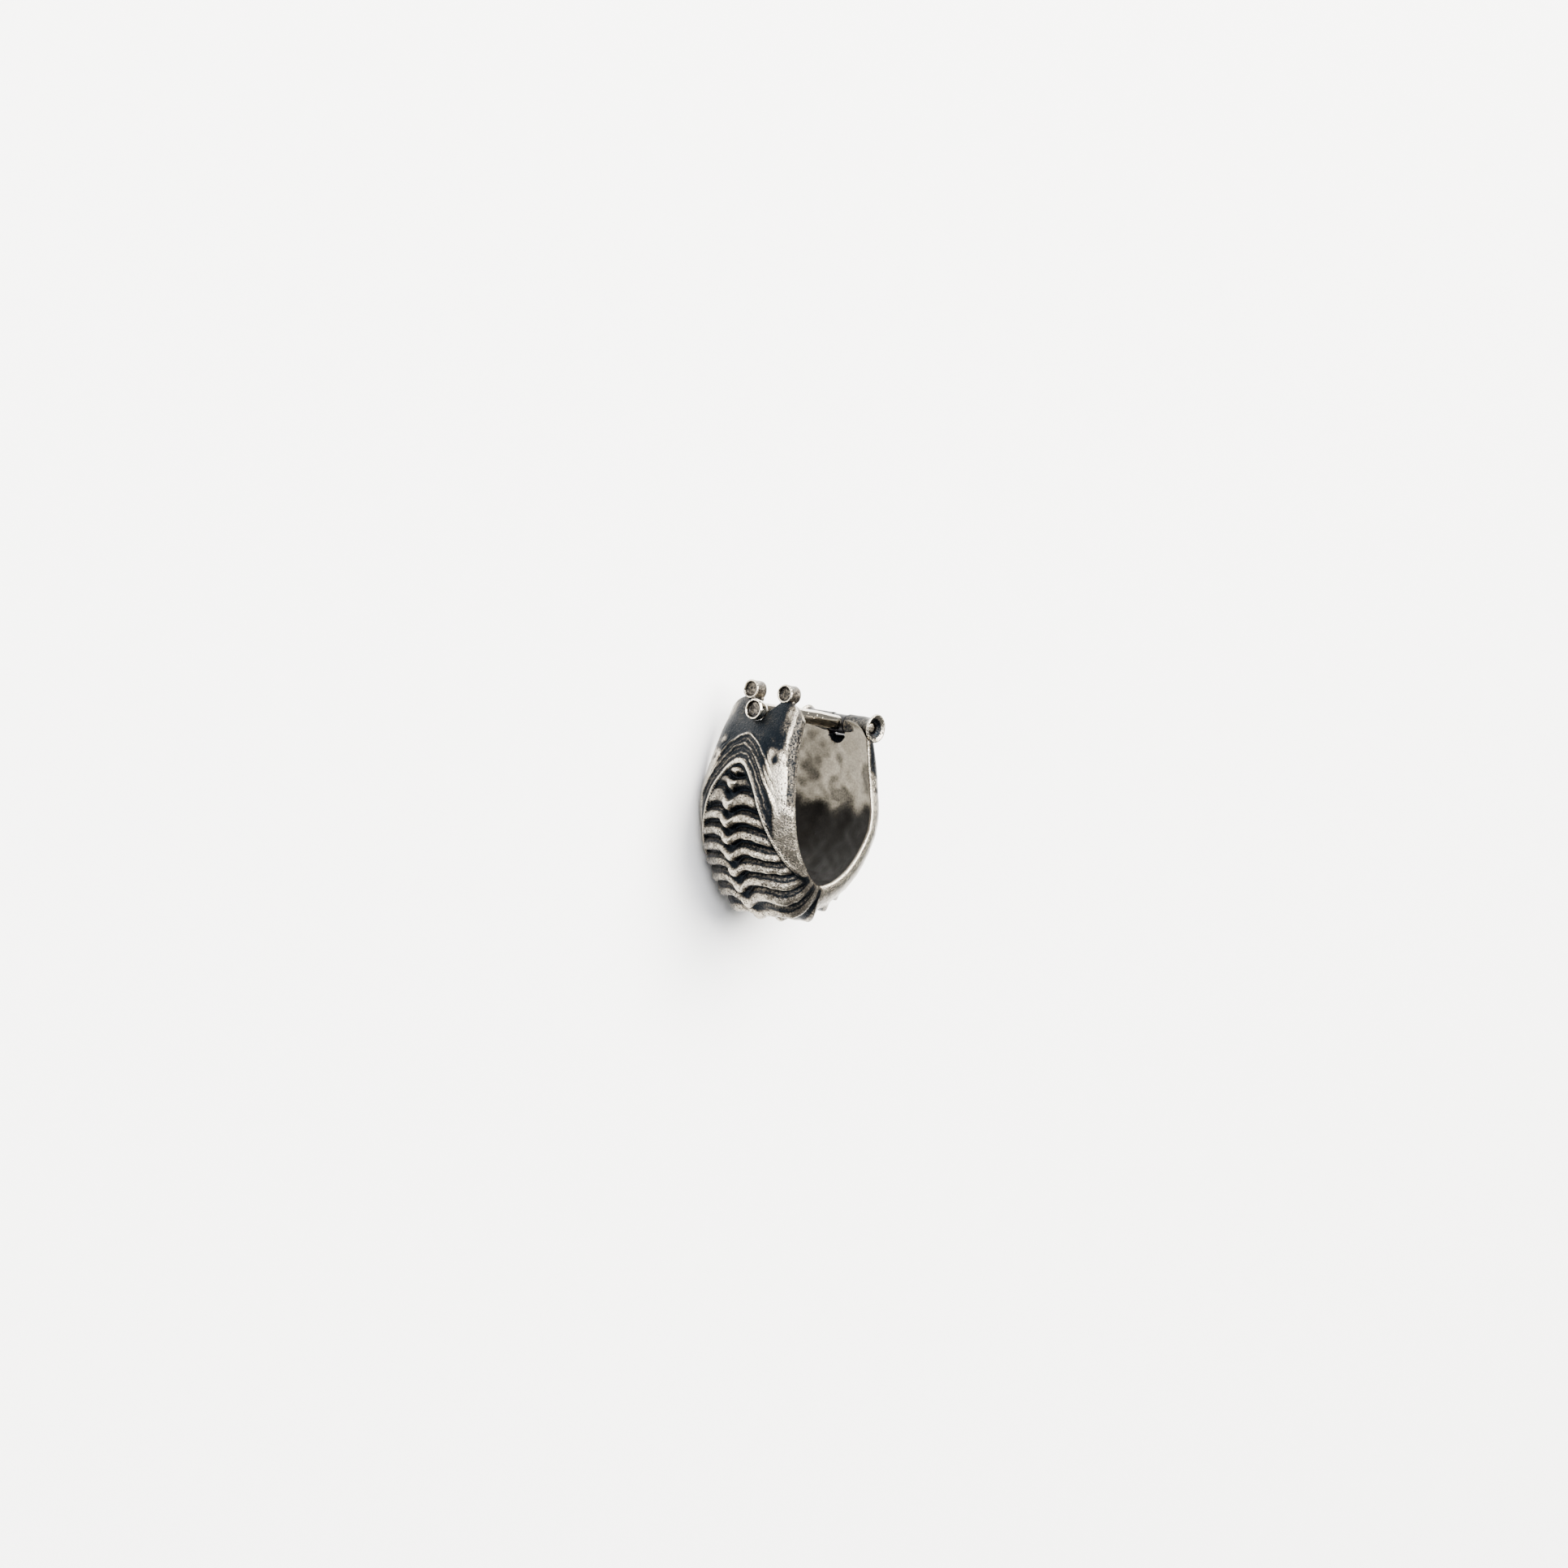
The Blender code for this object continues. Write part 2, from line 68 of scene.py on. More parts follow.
# %%
LEG_HEIGHT = 14.0
HINGED_LEG_SHORTER = 0.7
OPENING_HALF = 4.9
OPENING_HALF_TOP = 3.55
WIDEST_HEIGHT = 6.2
BOTTOM_ROUNDNESS = 1.67
LEG_PULL_IN = 1.7
BAND_HALF_WIDTH = 4.85
RIM_THICKNESS = 0.45
CREST_THICKNESS = 3.1
INNER_DISH = 0.7
SHOULDER_DROP = 0.085
RIB_PITCH = 1.06

BAR_RADIUS = 0.6
BAR_HEIGHT = 13.1
BAR_ARCH = 0.12
HEAD_RADIUS = 0.84
HEAD_LENGTH = 1.2
HEAD_REACH = 6.35
HEAD_CUP_DEPTH = 0.5
HINGE_OUT = 5.05
BARREL_RADIUS = 0.86
BARREL_HALF_LENGTH = 3.68
FLARE_RADIUS = 1.2
FLARE_LENGTH = 0.5
KNUCKLE_RADIUS = 0.8
KNUCKLE_HALF_LENGTH = 0.75
KNUCKLE_CLEARANCE = 0.12
RECESS_BOTTOM = 11.5
RECESS_PAST_AXIS = 0.1
PIN_RADIUS = 0.42
PIN_CLEARANCE = 0.06
PIN_RECESS = 0.4
BARREL_MOUTH_RADIUS = 1.0
NOTCH_BOTTOM = 12.22
NOTCH_RADIUS = 0.78
NOTCH_HALF_TOP = 1.6
STUD_RADIUS = 0.78
STUD_LENGTH = 1.3
STUD_REACH = 4.95
STUD_SPACING = 3.54
STUD_SINK = 0.12
STUD_CUP_DEPTH = 0.35
CUP_WALL = 0.17
WELD = 0.001

SECTIONS = np.array((
    (0.00, 0.930, 0.97, 0.6, 2.9),
    (0.10, 0.970, 0.93, 0.6, 2.6),
    (0.20, 1.000, 0.89, 0.7, 2.3),
    (0.34, 1.000, 0.87, 0.9, 2.2),
    (0.46, 1.000, 0.83, 1.0, 2.2),
    (0.56, 0.950, 0.78, 1.0, 2.4),
    (0.66, 0.875, 0.72, 1.0, 2.7),
    (0.79, 0.800, 0.68, 1.0, 3.0),
    (0.86, 0.775, 0.57, 0.9, 3.2),
    (0.93, 0.755, 0.47, 0.9, 3.2),
    (1.00, 0.740, 0.40, 0.9, 3.2),
))

hinge = frame["joints"][0]["pos_m"]
SHIFT = np.array((0.0, hinge[1] / MM - BAR_HEIGHT, hinge[2] / MM))

# %% [markdown]
# ## The line of the rim
#
# One leg of the rim is a quarter of a slightly pointed ellipse with a straight
# leg above it that leans in. Places on the band are given as a share of that
# leg, 0 at the bottom and 1 at the top, negative on the notched leg, and as a
# share of the half-width across it.

# %%
def rim_path(samples=900):
    turn = np.linspace(0.0, math.pi / 2, samples)
    power = 2.0 / BOTTOM_ROUNDNESS
    curve_x = OPENING_HALF * np.sin(turn) ** power
    curve_y = WIDEST_HEIGHT * (1.0 - np.clip(np.cos(turn), 0.0, 1.0) ** power)
    leg_y = np.linspace(WIDEST_HEIGHT, LEG_HEIGHT, samples)[1:]
    climb = (leg_y - WIDEST_HEIGHT) / (LEG_HEIGHT - WIDEST_HEIGHT)
    leg_x = OPENING_HALF - (OPENING_HALF - OPENING_HALF_TOP) * climb ** LEG_PULL_IN
    x = np.concatenate([curve_x, leg_x])
    y = np.concatenate([curve_y, leg_y])
    length = np.concatenate([[0.0], np.cumsum(np.hypot(np.diff(x), np.diff(y)))])
    return x, y, length


PATH_X, PATH_Y, PATH_LENGTH = rim_path()
LEG_LENGTH = PATH_LENGTH[-1]
HINGED_LENGTH = LEG_LENGTH - HINGED_LEG_SHORTER
SLOPE_X = np.gradient(PATH_X, PATH_LENGTH)
SLOPE_Y = np.gradient(PATH_Y, PATH_LENGTH)
PITCH = RIB_PITCH / LEG_LENGTH


def rim_point(share):
    """Rim point and outward direction at a signed share of a leg."""
    side = np.where(share < 0.0, -1.0, 1.0)
    along = np.clip(np.abs(share), 0.0, 1.0) * np.where(share < 0.0, LEG_LENGTH, HINGED_LENGTH)
    x = np.interp(along, PATH_LENGTH, PATH_X)
    y = np.interp(along, PATH_LENGTH, PATH_Y)
    run_x = np.interp(along, PATH_LENGTH, SLOPE_X)
    run_y = np.interp(along, PATH_LENGTH, SLOPE_Y)
    size = np.hypot(run_x, run_y)
    return side * x, y, side * run_y / size, -run_x / size


def section(share, column):
    return np.interp(np.abs(share), SECTIONS[:, 0], SECTIONS[:, column])


def smooth_step(value):
    value = np.clip(value, 0.0, 1.0)
    return value * value * (3.0 - 2.0 * value)


def bump(value, width):
    """A soft bump, 1 at zero, that dies away over a width."""
    return np.exp(-((value / width) ** 2))


def lumps(points, size, seed):
    """Soft unevenness of about one, with lumps of a size in mm, at any points."""
    rng = np.random.default_rng(seed)
    ways = rng.normal(size=(20, 3))
    ways /= np.linalg.norm(ways, axis=1)[:, None]
    ways *= rng.uniform(0.7, 1.5, 20)[:, None] * math.pi / size
    starts = rng.uniform(0.0, 2.0 * math.pi, 20)
    total = np.zeros(points.shape[:-1])
    for way, start in zip(ways, starts):
        total += np.cos(points @ way + start)
    return total / math.sqrt(10.0)


# %% [markdown]
# ## Ribs, knobs, lip and folds
#
# The relief is worked out in three fields at once: its height, how much black is
# rubbed off plus painted highlights (`bright`), and how pitted the metal is (`pits`).
#
# `level` is a share of the leg, `side` a share of the half-width. `place` is 0
# on the lip round the ribs and 1 on the outermost fold line, and `phase` counts
# the ribs from the bottom.

# %%
LIP_APEX = 0.655
LIP_SPREAD = 0.53
LIP_POWER = 1.85
LIP_MIDDLE = 0.004
LINE_APEX = 0.787
LINE_SPREAD = 0.35
RIB_RISE = 0.025
RIB_FALL = 0.045
RIB_CROWDING = 0.06
RIB_FADE = 0.05
HUMP_WIDTH = 0.13
PLAIN_EDGE = 0.14
HINGED_STRIP = 0.22
HINGED_STRIP_GROWS = 0.05
HINGED_FULLER = 1.0
HINGED_FULLER_GROWS = 0.3
HINGED_FULLER_ENDS = 0.8
KNOBS_ROUND_FROM = 0.47

# Heights and depths in mm
RIB_HEIGHT = 0.76
RIB_SINK = 0.40
LEDGE_HEIGHT = 0.07
KNOB_HEIGHT = 0.20
SPINE_HEIGHT = 0.12
ROUND_KNOB_HEIGHT = 0.42
SWELL_HEIGHT = 0.35
LIP_HEIGHT = 0.20
LIP_UNDERCUT = 0.10
STREAK_DEPTH = 0.08

# The swell of the ribs beside the bottom: its middle and reach up the leg, and
# its middle and width across the band
SWELL_LEVEL = 0.03
SWELL_REACH = 0.08
SWELL_PLACE = 0.68
SWELL_WIDTH = 0.26

# How far the black is rubbed off, from 0 to 1
RIB_SHINE = 0.56
LEDGE_SHINE = 0.30
KNOB_SHINE = 0.86
ROUND_KNOB_SHINE = 0.95
LIP_SHINE = 0.92
GROOVE_SHINE = 0.12
STRIP_SHINE = 0.70
# The strip's upper value is a painted highlight, not black rubbed off
STRIP_PAINTED_HIGHLIGHT = 0.98
PLAIN_SHINE = 0.04
BESIDE_SHINE = 0.24

# Folds: place, height in mm, half-thickness, side where the fold dies away, and
# how far its top is rubbed bright
FOLDS = (
    (0.14, 0.09, 0.040, 0.86, 0.45),
    (0.34, 0.10, 0.040, 0.80, 0.60),
    (0.50, 0.05, 0.030, 0.74, 0.35),
    (0.66, 0.18, 0.045, 0.90, 0.85),
    (0.82, 0.06, 0.030, 0.55, 0.40),
    (1.02, 0.16, 0.040, 0.76, 1.00),
)

# Dark streaks that run from the folds down into the strip: place, half-thickness
# and side where they die away
STREAKS = (
    (0.74, 0.030, 0.80),
    (0.90, 0.035, 0.84),
    (1.10, 0.030, 0.74),
    (1.28, 0.025, 0.70),
)


def rib_share(station, across):
    """Where a rib line that starts at a station on the spine crosses the band."""
    level = np.abs(station)
    in_ribs = smooth_step((LIP_APEX - level) / (LINE_APEX - LIP_APEX))
    beside_spine = 1.0 - bump(across, HUMP_WIDTH)
    rise = RIB_RISE * beside_spine * smooth_step(0.5 * level / RIB_CROWDING)
    towards_rim = smooth_step((np.abs(across) - 0.3) / 0.65)
    fall = RIB_FALL * towards_rim * (1.0 - np.exp(-level / RIB_CROWDING))
    top = SHOULDER_DROP * level ** 10 * np.abs(across) ** 5
    return np.sign(station) * (level + (rise - fall) * in_ribs - top)


def rib_wave(phase):
    """0 in the grooves and 1 on the crests of the ribs."""
    return np.abs(np.cos(math.pi * (phase - 0.5)))


def rib_relief(phase, side, rough, high_up):
    """Height and brightness of the ribs, each with a thin ledge in the groove above it."""
    crest = rib_wave(phase) ** 1.4
    ledge = bump(phase % 1.0 - 0.87, 0.07) * smooth_step((side - 0.08) / 0.12)
    height = RIB_HEIGHT * crest - RIB_SINK + 0.04 * rough * crest + LEDGE_HEIGHT * ledge
    bright = smooth_step((crest - 0.50) / 0.30) * (RIB_SHINE + 0.05 * rough - 0.26 * high_up)
    return height * (1.0 - 0.35 * high_up), np.maximum(bright, LEDGE_SHINE * ledge)


def knob_relief(phase, across, high_up):
    """Height and brightness of the knobs along the spine.

    Low down they are triangles whose tip points to the bottom, high up they are round.
    """
    turn = phase % 1.0
    along_knob = np.clip((turn - 0.04) / 0.5, 0.0, 1.0)
    half_width = 0.015 + 0.105 * along_knob
    knob = np.clip(1.0 - (across / half_width) ** 2, 0.0, 1.0) ** 0.6
    knob = knob * along_knob ** 0.5 * (1.0 - smooth_step((turn - 0.58) / 0.2))
    round_knob = bump(across, 0.10) * rib_wave(phase) ** 2.0
    pointed = KNOB_HEIGHT * knob + SPINE_HEIGHT * bump(across, 0.12)
    height = pointed * (1.0 - high_up) + ROUND_KNOB_HEIGHT * round_knob * high_up
    bright = KNOB_SHINE * smooth_step((knob - 0.25) / 0.3)
    round_bright = ROUND_KNOB_SHINE * smooth_step((round_knob - 0.35) / 0.3) * high_up
    return height, np.maximum(bright, round_bright)


def lip_relief(from_lip):
    """Height and brightness of the sharp lip, undercut on the side of the ribs."""
    lip = np.where(from_lip < 0.0, bump(from_lip, 0.010), bump(from_lip, 0.014))
    undercut = bump(from_lip + 0.018, 0.012)
    return LIP_HEIGHT * lip - LIP_UNDERCUT * undercut, LIP_SHINE * smooth_step((lip - 0.35) / 0.3)


def fold_relief(place, side, points, rough):
    """Height of the arched folds, and how far their tops are rubbed bright."""
    height = np.zeros_like(side)
    top = np.zeros_like(side)
    patchy = 0.78 + 0.22 * np.clip(lumps(points, 1.6, 13), -1.0, 1.0)
    for middle, high, half, gone, shine in FOLDS:
        fade = 1.0 - smooth_step((side - gone + 0.2) / 0.2)
        ridge = bump(place - middle + 0.02 * rough, half) * fade
        height = height + high * ridge
        top = np.maximum(top, shine * patchy * smooth_step((ridge - 0.55) / 0.35))
    return height, top


def streak_depth(place, side, rough):
    """How deep in a dark streak each point lies, from 0 to 1."""
    depth = np.zeros_like(side)
    for middle, half, gone in STREAKS:
        fade = smooth_step((side - 0.42) / 0.1) * (1.0 - smooth_step((side - gone + 0.14) / 0.14))
        depth = np.maximum(depth, bump(place - middle + 0.02 * rough, half) * fade)
    return depth


def side_strip(place, level, side, hinged, rough):
    """Where the smooth side strip lies, from 0 to 1. The hinged leg's reaches the bottom."""
    strip = smooth_step((place - 0.55) / 0.2) * smooth_step((side - 0.46) / 0.2)
    strip = np.maximum(strip, smooth_step(place / 0.08) * smooth_step((side - 0.72) / 0.08))
    strip = np.maximum(strip, hinged * smooth_step((side - 0.70) / 0.08))
    return strip * smooth_step((0.80 - level + 0.03 * rough) / 0.18)


def relief(station, share, across, points):
    """Height in mm, brightness and pitting of the outside at these places."""
    level = np.abs(share)
    side = np.abs(across)
    lip_level = LIP_APEX - LIP_SPREAD * side ** LIP_POWER
    line_level = LINE_APEX - LINE_SPREAD * side ** 2
    place = (level - lip_level) / (line_level - lip_level)
    phase = np.abs(station) / PITCH + 0.04 * lumps(points, 2.2, 3)
    rough = lumps(points, 0.55, 5)
    high_up = smooth_step((level - KNOBS_ROUND_FROM) / 0.1)
    hinged = smooth_step(share / HINGED_STRIP_GROWS)
    plain_from = 1.0 - PLAIN_EDGE - HINGED_STRIP * hinged
    edge_fade = 1.0 - smooth_step((side - plain_from) / PLAIN_EDGE)

    # Zones: the ribs inside the lip, the smooth strip, the plain top and the folds
    inside = smooth_step((lip_level - level) / RIB_FADE)
    strip = side_strip(place, level, side, hinged, rough)
    plain = smooth_step((place - 1.0) / 0.12) * (1.0 - strip)
    folds = smooth_step(place / 0.08) * (1.0 - strip) * (1.0 - plain)

    ribs, rib_bright = rib_relief(phase, side, rough, high_up)
    knobs, knob_bright = knob_relief(phase, across, high_up)
    lip, lip_bright = lip_relief(level - lip_level - LIP_MIDDLE)
    fold, fold_top = fold_relief(place, side, points, rough)
    streak = streak_depth(place, side, rough)
    swell = SWELL_HEIGHT * bump(level - SWELL_LEVEL, SWELL_REACH) * bump(side - SWELL_PLACE, SWELL_WIDTH)
    height = inside * (ribs * edge_fade + knobs) + (swell + lip) * edge_fade + fold
    height = height - STREAK_DEPTH * streak
    height = height + 0.03 * lumps(points, 1.1, 11) * plain + 0.012 * rough * strip

    # The strip is painted brighter high up and on the hinged leg, a painted
    # highlight, and the plain top gets painted highlights, partly rubbed wear,
    # along its turn to the rim and on its shoulder
    strip_highlight_and_smooth = np.maximum(smooth_step((level - 0.44) / 0.12), hinged)
    strip_polish_and_highlight = STRIP_SHINE + (STRIP_PAINTED_HIGHLIGHT - STRIP_SHINE) * strip_highlight_and_smooth + 0.05 * rough
    # Painted highlight, partly rubbed wear too, along the plain top's turn to the rim and on its shoulder
    turn_highlight_and_wear = bump(side - 0.885, 0.035)
    shoulder = bump(level - 0.92, 0.06) * bump(side - 0.78, 0.10)
    plain_wear_and_highlight = PLAIN_SHINE + 0.05 * lumps(points, 0.9, 17) + 0.74 * turn_highlight_and_wear + 0.55 * shoulder
    bright = np.maximum(rib_bright, knob_bright) * inside
    bright = np.maximum(bright, lip_bright * edge_fade)
    bright = np.maximum(bright, folds * (GROOVE_SHINE + 0.72 * fold_top))
    bright = np.maximum(bright, strip * strip_polish_and_highlight)
    bright = np.maximum(bright, plain * np.maximum(plain_wear_and_highlight, 0.85 * fold_top))
    bright = bright * (1.0 - 0.75 * streak)

    # A duller, pitted stretch beside the notched leg's rim
    beside = smooth_step((side - 0.925) / 0.02) * smooth_step((level - 0.47) / 0.05) * (1.0 - hinged)
    bright = bright * (1.0 - beside) + BESIDE_SHINE * beside
    pits = 0.35 * (inside + folds) + strip * (0.95 - 0.7 * strip_highlight_and_smooth) + 0.5 * plain
    pits = np.maximum(pits * (1.0 - 0.6 * turn_highlight_and_wear * plain), 0.9 * beside)
    return height, np.clip(bright, 0.0, 1.0), np.clip(pits, 0.0, 1.0)


def outside_points(station, across):
    """Points of the outside of the band, with their brightness and pits."""
    share = rib_share(station, across)
    x, y, out_x, out_y = rim_point(share)
    crest = CREST_THICKNESS * section(share, 2)
    fuller = smooth_step(share / HINGED_FULLER_GROWS)
    fuller = fuller - smooth_step((share - HINGED_FULLER_ENDS) / (1.0 - HINGED_FULLER_ENDS))
    fullness = section(share, 4) + HINGED_FULLER * fuller
    dome = np.clip(1.0 - np.abs(across) ** fullness, 0.0, 1.0) ** (1.7 / fullness)
    plain = RIM_THICKNESS + (crest - RIM_THICKNESS) * dome
    z = across * BAND_HALF_WIDTH * section(share, 1)
    flat = np.stack([x + out_x * plain, y + out_y * plain, z], axis=-1)
    height, bright, pits = relief(station, share, across, flat)
    points = flat + np.stack([out_x, out_y, np.zeros_like(x)], axis=-1) * height[..., None]
    return points, bright, pits


# The inside: where its dark lower part ends and over what stretch, and the
# deepest dent in mm
DARK_BELOW = 0.49
DARK_FADE = 0.15
DENT_LIMIT = 0.12


def inside_points(station, across):
    """Points of the dished inside, dented and left dark towards the bottom."""
    share = rib_share(station, across)
    x, y, out_x, out_y = rim_point(share)
    deep = INNER_DISH * section(share, 3) * (1.0 - across ** 2)
    z = across * BAND_HALF_WIDTH * section(share, 1)
    flat = np.stack([x + out_x * deep, y + out_y * deep, z], axis=-1)
    away = smooth_step((1.0 - np.abs(across)) / 0.25)
    dents = 0.045 * lumps(flat, 1.6, 23) + 0.02 * lumps(flat, 0.6, 29)
    dents = np.clip(dents, -DENT_LIMIT, DENT_LIMIT) * away
    points = flat + np.stack([out_x, out_y, np.zeros_like(x)], axis=-1) * dents[..., None]
    climb = smooth_step((np.abs(share) - DARK_BELOW + 0.015 * lumps(flat, 1.2, 37)) / DARK_FADE)
    blotch = lumps(flat, 1.9, 31) + 0.5 * lumps(flat, 0.8, 33)
    bright = 0.05 + 0.03 * blotch + climb * (0.50 - 0.30 * smooth_step((blotch + 0.1) / 1.6))
    rim = smooth_step((np.abs(across) - 0.94) / 0.05)
    bright = np.clip(bright, 0.03, 0.8) * (1.0 - rim) + 0.8 * rim
    return points, bright, np.zeros_like(bright)


# %% [markdown]
# ## Mesh helpers

# %%
def make_object(name, points, faces, fields=None):
    """An object from points in mm, moved to its place in the frame."""
    mesh = bpy.data.meshes.new(name)
    moved = (np.asarray(points, dtype=float) + SHIFT) * MM
    mesh.from_pydata(moved.tolist(), [], faces)
    work = bmesh.new()
    work.from_mesh(mesh)
    bmesh.ops.recalc_face_normals(work, faces=work.faces)
    work.to_mesh(mesh)
    work.free()
    for label, values in (fields or {}).items():
        layer = mesh.attributes.new(label, "FLOAT", "POINT")
        layer.data.foreach_set("value", np.asarray(values, dtype=np.float32))
    mesh.shade_smooth()
    obj = bpy.data.objects.new(name, mesh)
    bpy.context.scene.collection.objects.link(obj)
    return obj


def ring_faces(rows, around):
    """Quads between rings of points, each ring closed on itself."""
    row = np.arange(rows - 1)[:, None] * around
    place = np.arange(around)[None, :]
    after = (place + 1) % around
    quads = np.stack([row + place, row + after, row + around + after, row + around + place], axis=-1)
    return quads.reshape(-1, 4).tolist()


def turned_surface(profile, centre, axis, sides=64, closed=False):
    """Points and faces of a turned form from (place along, radius) pairs."""
    along = np.array(axis, dtype=float)
    aside = np.array((0.0, 1.0, 0.0)) if abs(along[1]) < 0.5 else np.array((0.0, 0.0, 1.0))
    over = np.cross(along, aside)
    profile = np.array(profile, dtype=float)
    turn = 2.0 * math.pi * (np.arange(sides) + 0.5) / sides
    spokes = np.cos(turn)[:, None] * aside + np.sin(turn)[:, None] * over
    points = (np.array(centre) + profile[:, 0, None, None] * along
              + profile[:, 1, None, None] * spokes[None])
    faces = ring_faces(len(profile), sides)
    last = (len(profile) - 1) * sides
    if closed:
        for side in range(sides):
            after = (side + 1) % sides
            faces.append((last + side, last + after, after, side))
    else:
        faces.append(tuple(range(sides)))
        faces.append(tuple(range(last, last + sides)))
    return points.reshape(-1, 3), faces


def rounded(profile, radius, steps=4):
    """The profile with its inner corners rounded to a radius."""
    profile = [np.array(point, dtype=float) for point in profile]
    out = [profile[0]]
    for before, corner, after in zip(profile, profile[1:], profile[2:]):
        into = before - corner
        away = after - corner
        reach = min(radius, 0.45 * np.linalg.norm(into), 0.45 * np.linalg.norm(away))
        start = corner + into / np.linalg.norm(into) * reach
        end = corner + away / np.linalg.norm(away) * reach
        for share in np.linspace(0.0, 1.0, steps + 1):
            out.append((1 - share) ** 2 * start + 2 * share * (1 - share) * corner + share ** 2 * end)
    out.append(profile[-1])
    return out


def cut(target, tool, operation="DIFFERENCE"):
    """Apply a Boolean of one solid with another, and remove the other."""
    modifier = target.modifiers.new("cut", "BOOLEAN")
    modifier.operation = operation
    modifier.solver = "EXACT"
    modifier.object = tool
    graph = bpy.context.evaluated_depsgraph_get()
    mesh = bpy.data.meshes.new_from_object(target.evaluated_get(graph))
    target.modifiers.clear()
    work = bmesh.new()
    work.from_mesh(mesh)
    bmesh.ops.remove_doubles(work, verts=work.verts, dist=WELD * MM)
    bmesh.ops.dissolve_degenerate(work, edges=work.edges, dist=WELD * MM)
    work.to_mesh(mesh)
    work.free()
    old_mesh = target.data
    target.data = mesh
    bpy.data.meshes.remove(old_mesh)
    bpy.data.objects.remove(tool)


# %% [markdown]
# ## The cast band
#
# Rings of points are carried round the horseshoe. The last few rings of each
# leg shrink towards their own middle, which rounds the leg tops.

# %%
ROWS_PER_LEG = 250
OUTSIDE_CELLS = 136
RIM_CELLS = 4
INSIDE_CELLS = 32
TOP_ROUNDING = 0.2
TOP_ROWS = 5
ACROSS_SPREAD = 0.86


def section_rings(stations):
    """Rings of points, brightness, pits and inside marks at the given stations."""
    spread = np.sin(np.linspace(-1.0, 1.0, OUTSIDE_CELLS + 1) * math.pi / 2 * ACROSS_SPREAD)
    out_across = spread / spread[-1]
    in_across = np.linspace(1.0, -1.0, INSIDE_CELLS + 1)
    station_out, across_out = np.meshgrid(stations, out_across, indexing="ij")
    station_in, across_in = np.meshgrid(stations, in_across, indexing="ij")
    outside = outside_points(station_out, across_out)
    inside = inside_points(station_in, across_in)
    outside += (np.zeros_like(station_out),)
    inside += (np.ones_like(station_in),)
    parts = []
    for outer, inner in zip(outside, inside):
        steps = np.linspace(0.0, 1.0, RIM_CELLS + 1)[1:-1]
        steps = steps.reshape((1, -1) + (1,) * (outer.ndim - 2))
        near_rim = outer[:, -1:] * (1.0 - steps) + inner[:, :1] * steps
        far_rim = inner[:, -1:] * (1.0 - steps) + outer[:, :1] * steps
        parts.append(np.concatenate([outer, near_rim, inner, far_rim], axis=1))
    return parts


def rounded_rims(rings):
    """Soften the four corners where the outside and inside meet the rims."""
    corners = (0, OUTSIDE_CELLS, OUTSIDE_CELLS + RIM_CELLS,
               OUTSIDE_CELLS + RIM_CELLS + INSIDE_CELLS)
    for corner in corners:
        before = rings[:, corner - 1]
        after = rings[:, (corner + 1) % rings.shape[1]]
        rings[:, corner] = 0.5 * rings[:, corner] + 0.25 * (before + after)
    return rings


def band_stations():
    """Stations of both legs, and how far each ring shrinks to round the leg tops."""
    rounding = TOP_ROUNDING / LEG_LENGTH
    turn = np.linspace(0.0, math.pi / 2, TOP_ROWS + 1)[1:]
    leg = np.concatenate([
        np.linspace(0.0, 1.0 - rounding, ROWS_PER_LEG),
        1.0 - rounding + rounding * np.sin(turn),
    ])
    pull = np.concatenate([np.zeros(ROWS_PER_LEG), TOP_ROUNDING * (1.0 - np.cos(turn))])
    return np.concatenate([-leg[:0:-1], leg]), np.concatenate([pull[:0:-1], pull])


def shrink_leg_tops(rings, stations, pull):
    """Draw the last rings of each leg in, halfway between their outside and inside."""
    x, y, out_x, out_y = rim_point(stations)
    outside = slice(0, OUTSIDE_CELLS + 1)
    inside = slice(OUTSIDE_CELLS + RIM_CELLS, -RIM_CELLS + 1)
    for row in np.nonzero(pull)[0]:
        ring = rings[row]
        out = np.array((out_x[row], out_y[row], 0.0))
        depth = (ring - np.array((x[row], y[row], 0.0))) @ out
        outer_depth = np.interp(ring[:, 2], ring[outside, 2], depth[outside])
        inner_depth = np.interp(ring[:, 2], ring[inside, 2][::-1], depth[inside][::-1])
        middle = 0.5 * (outer_depth + inner_depth)
        ring += out * np.clip(middle - depth, -pull[row], pull[row])[:, None]
        ring[:, 2] *= 1.0 - pull[row] / np.abs(ring[:, 2]).max()


def leg_top_faces(row, around):
    """Faces that close the ring of points at a leg top."""
    start = row * around
    first_in = start + OUTSIDE_CELLS + RIM_CELLS
    share = OUTSIDE_CELLS / INSIDE_CELLS
    faces = []
    for cell in range(INSIDE_CELLS):
        low = OUTSIDE_CELLS - round((cell + 1) * share)
        high = OUTSIDE_CELLS - round(cell * share)
        outer = [start + place for place in range(low, high + 1)]
        faces.append(tuple(outer + [first_in + cell, first_in + cell + 1]))
    faces.append(tuple(start + OUTSIDE_CELLS + step for step in range(RIM_CELLS + 1)))
    faces.append(tuple(start + (around - RIM_CELLS + step) % around for step in range(RIM_CELLS + 1)))
    return faces


def cast_band():
    stations, pull = band_stations()
    rings, bright, pits, inner = section_rings(stations)
    rings = rounded_rims(rings)
    shrink_leg_tops(rings, stations, pull)
    around = rings.shape[1]
    faces = ring_faces(len(stations), around)
    for row in (0, len(stations) - 1):
        faces += leg_top_faces(row, around)
    fields = {"bright": bright.reshape(-1), "pits": pits.reshape(-1), "inner": inner.reshape(-1)}
    return make_object("cast_band", rings.reshape(-1, 3), faces, fields)


# %% [markdown]
# ### Cuts in the band
#
# The notch that takes the bar, the knuckle's pocket, the finger recess under
# the bar and the pin's bore. Each cutter is finely divided, so its walls can
# be softened with the rest.

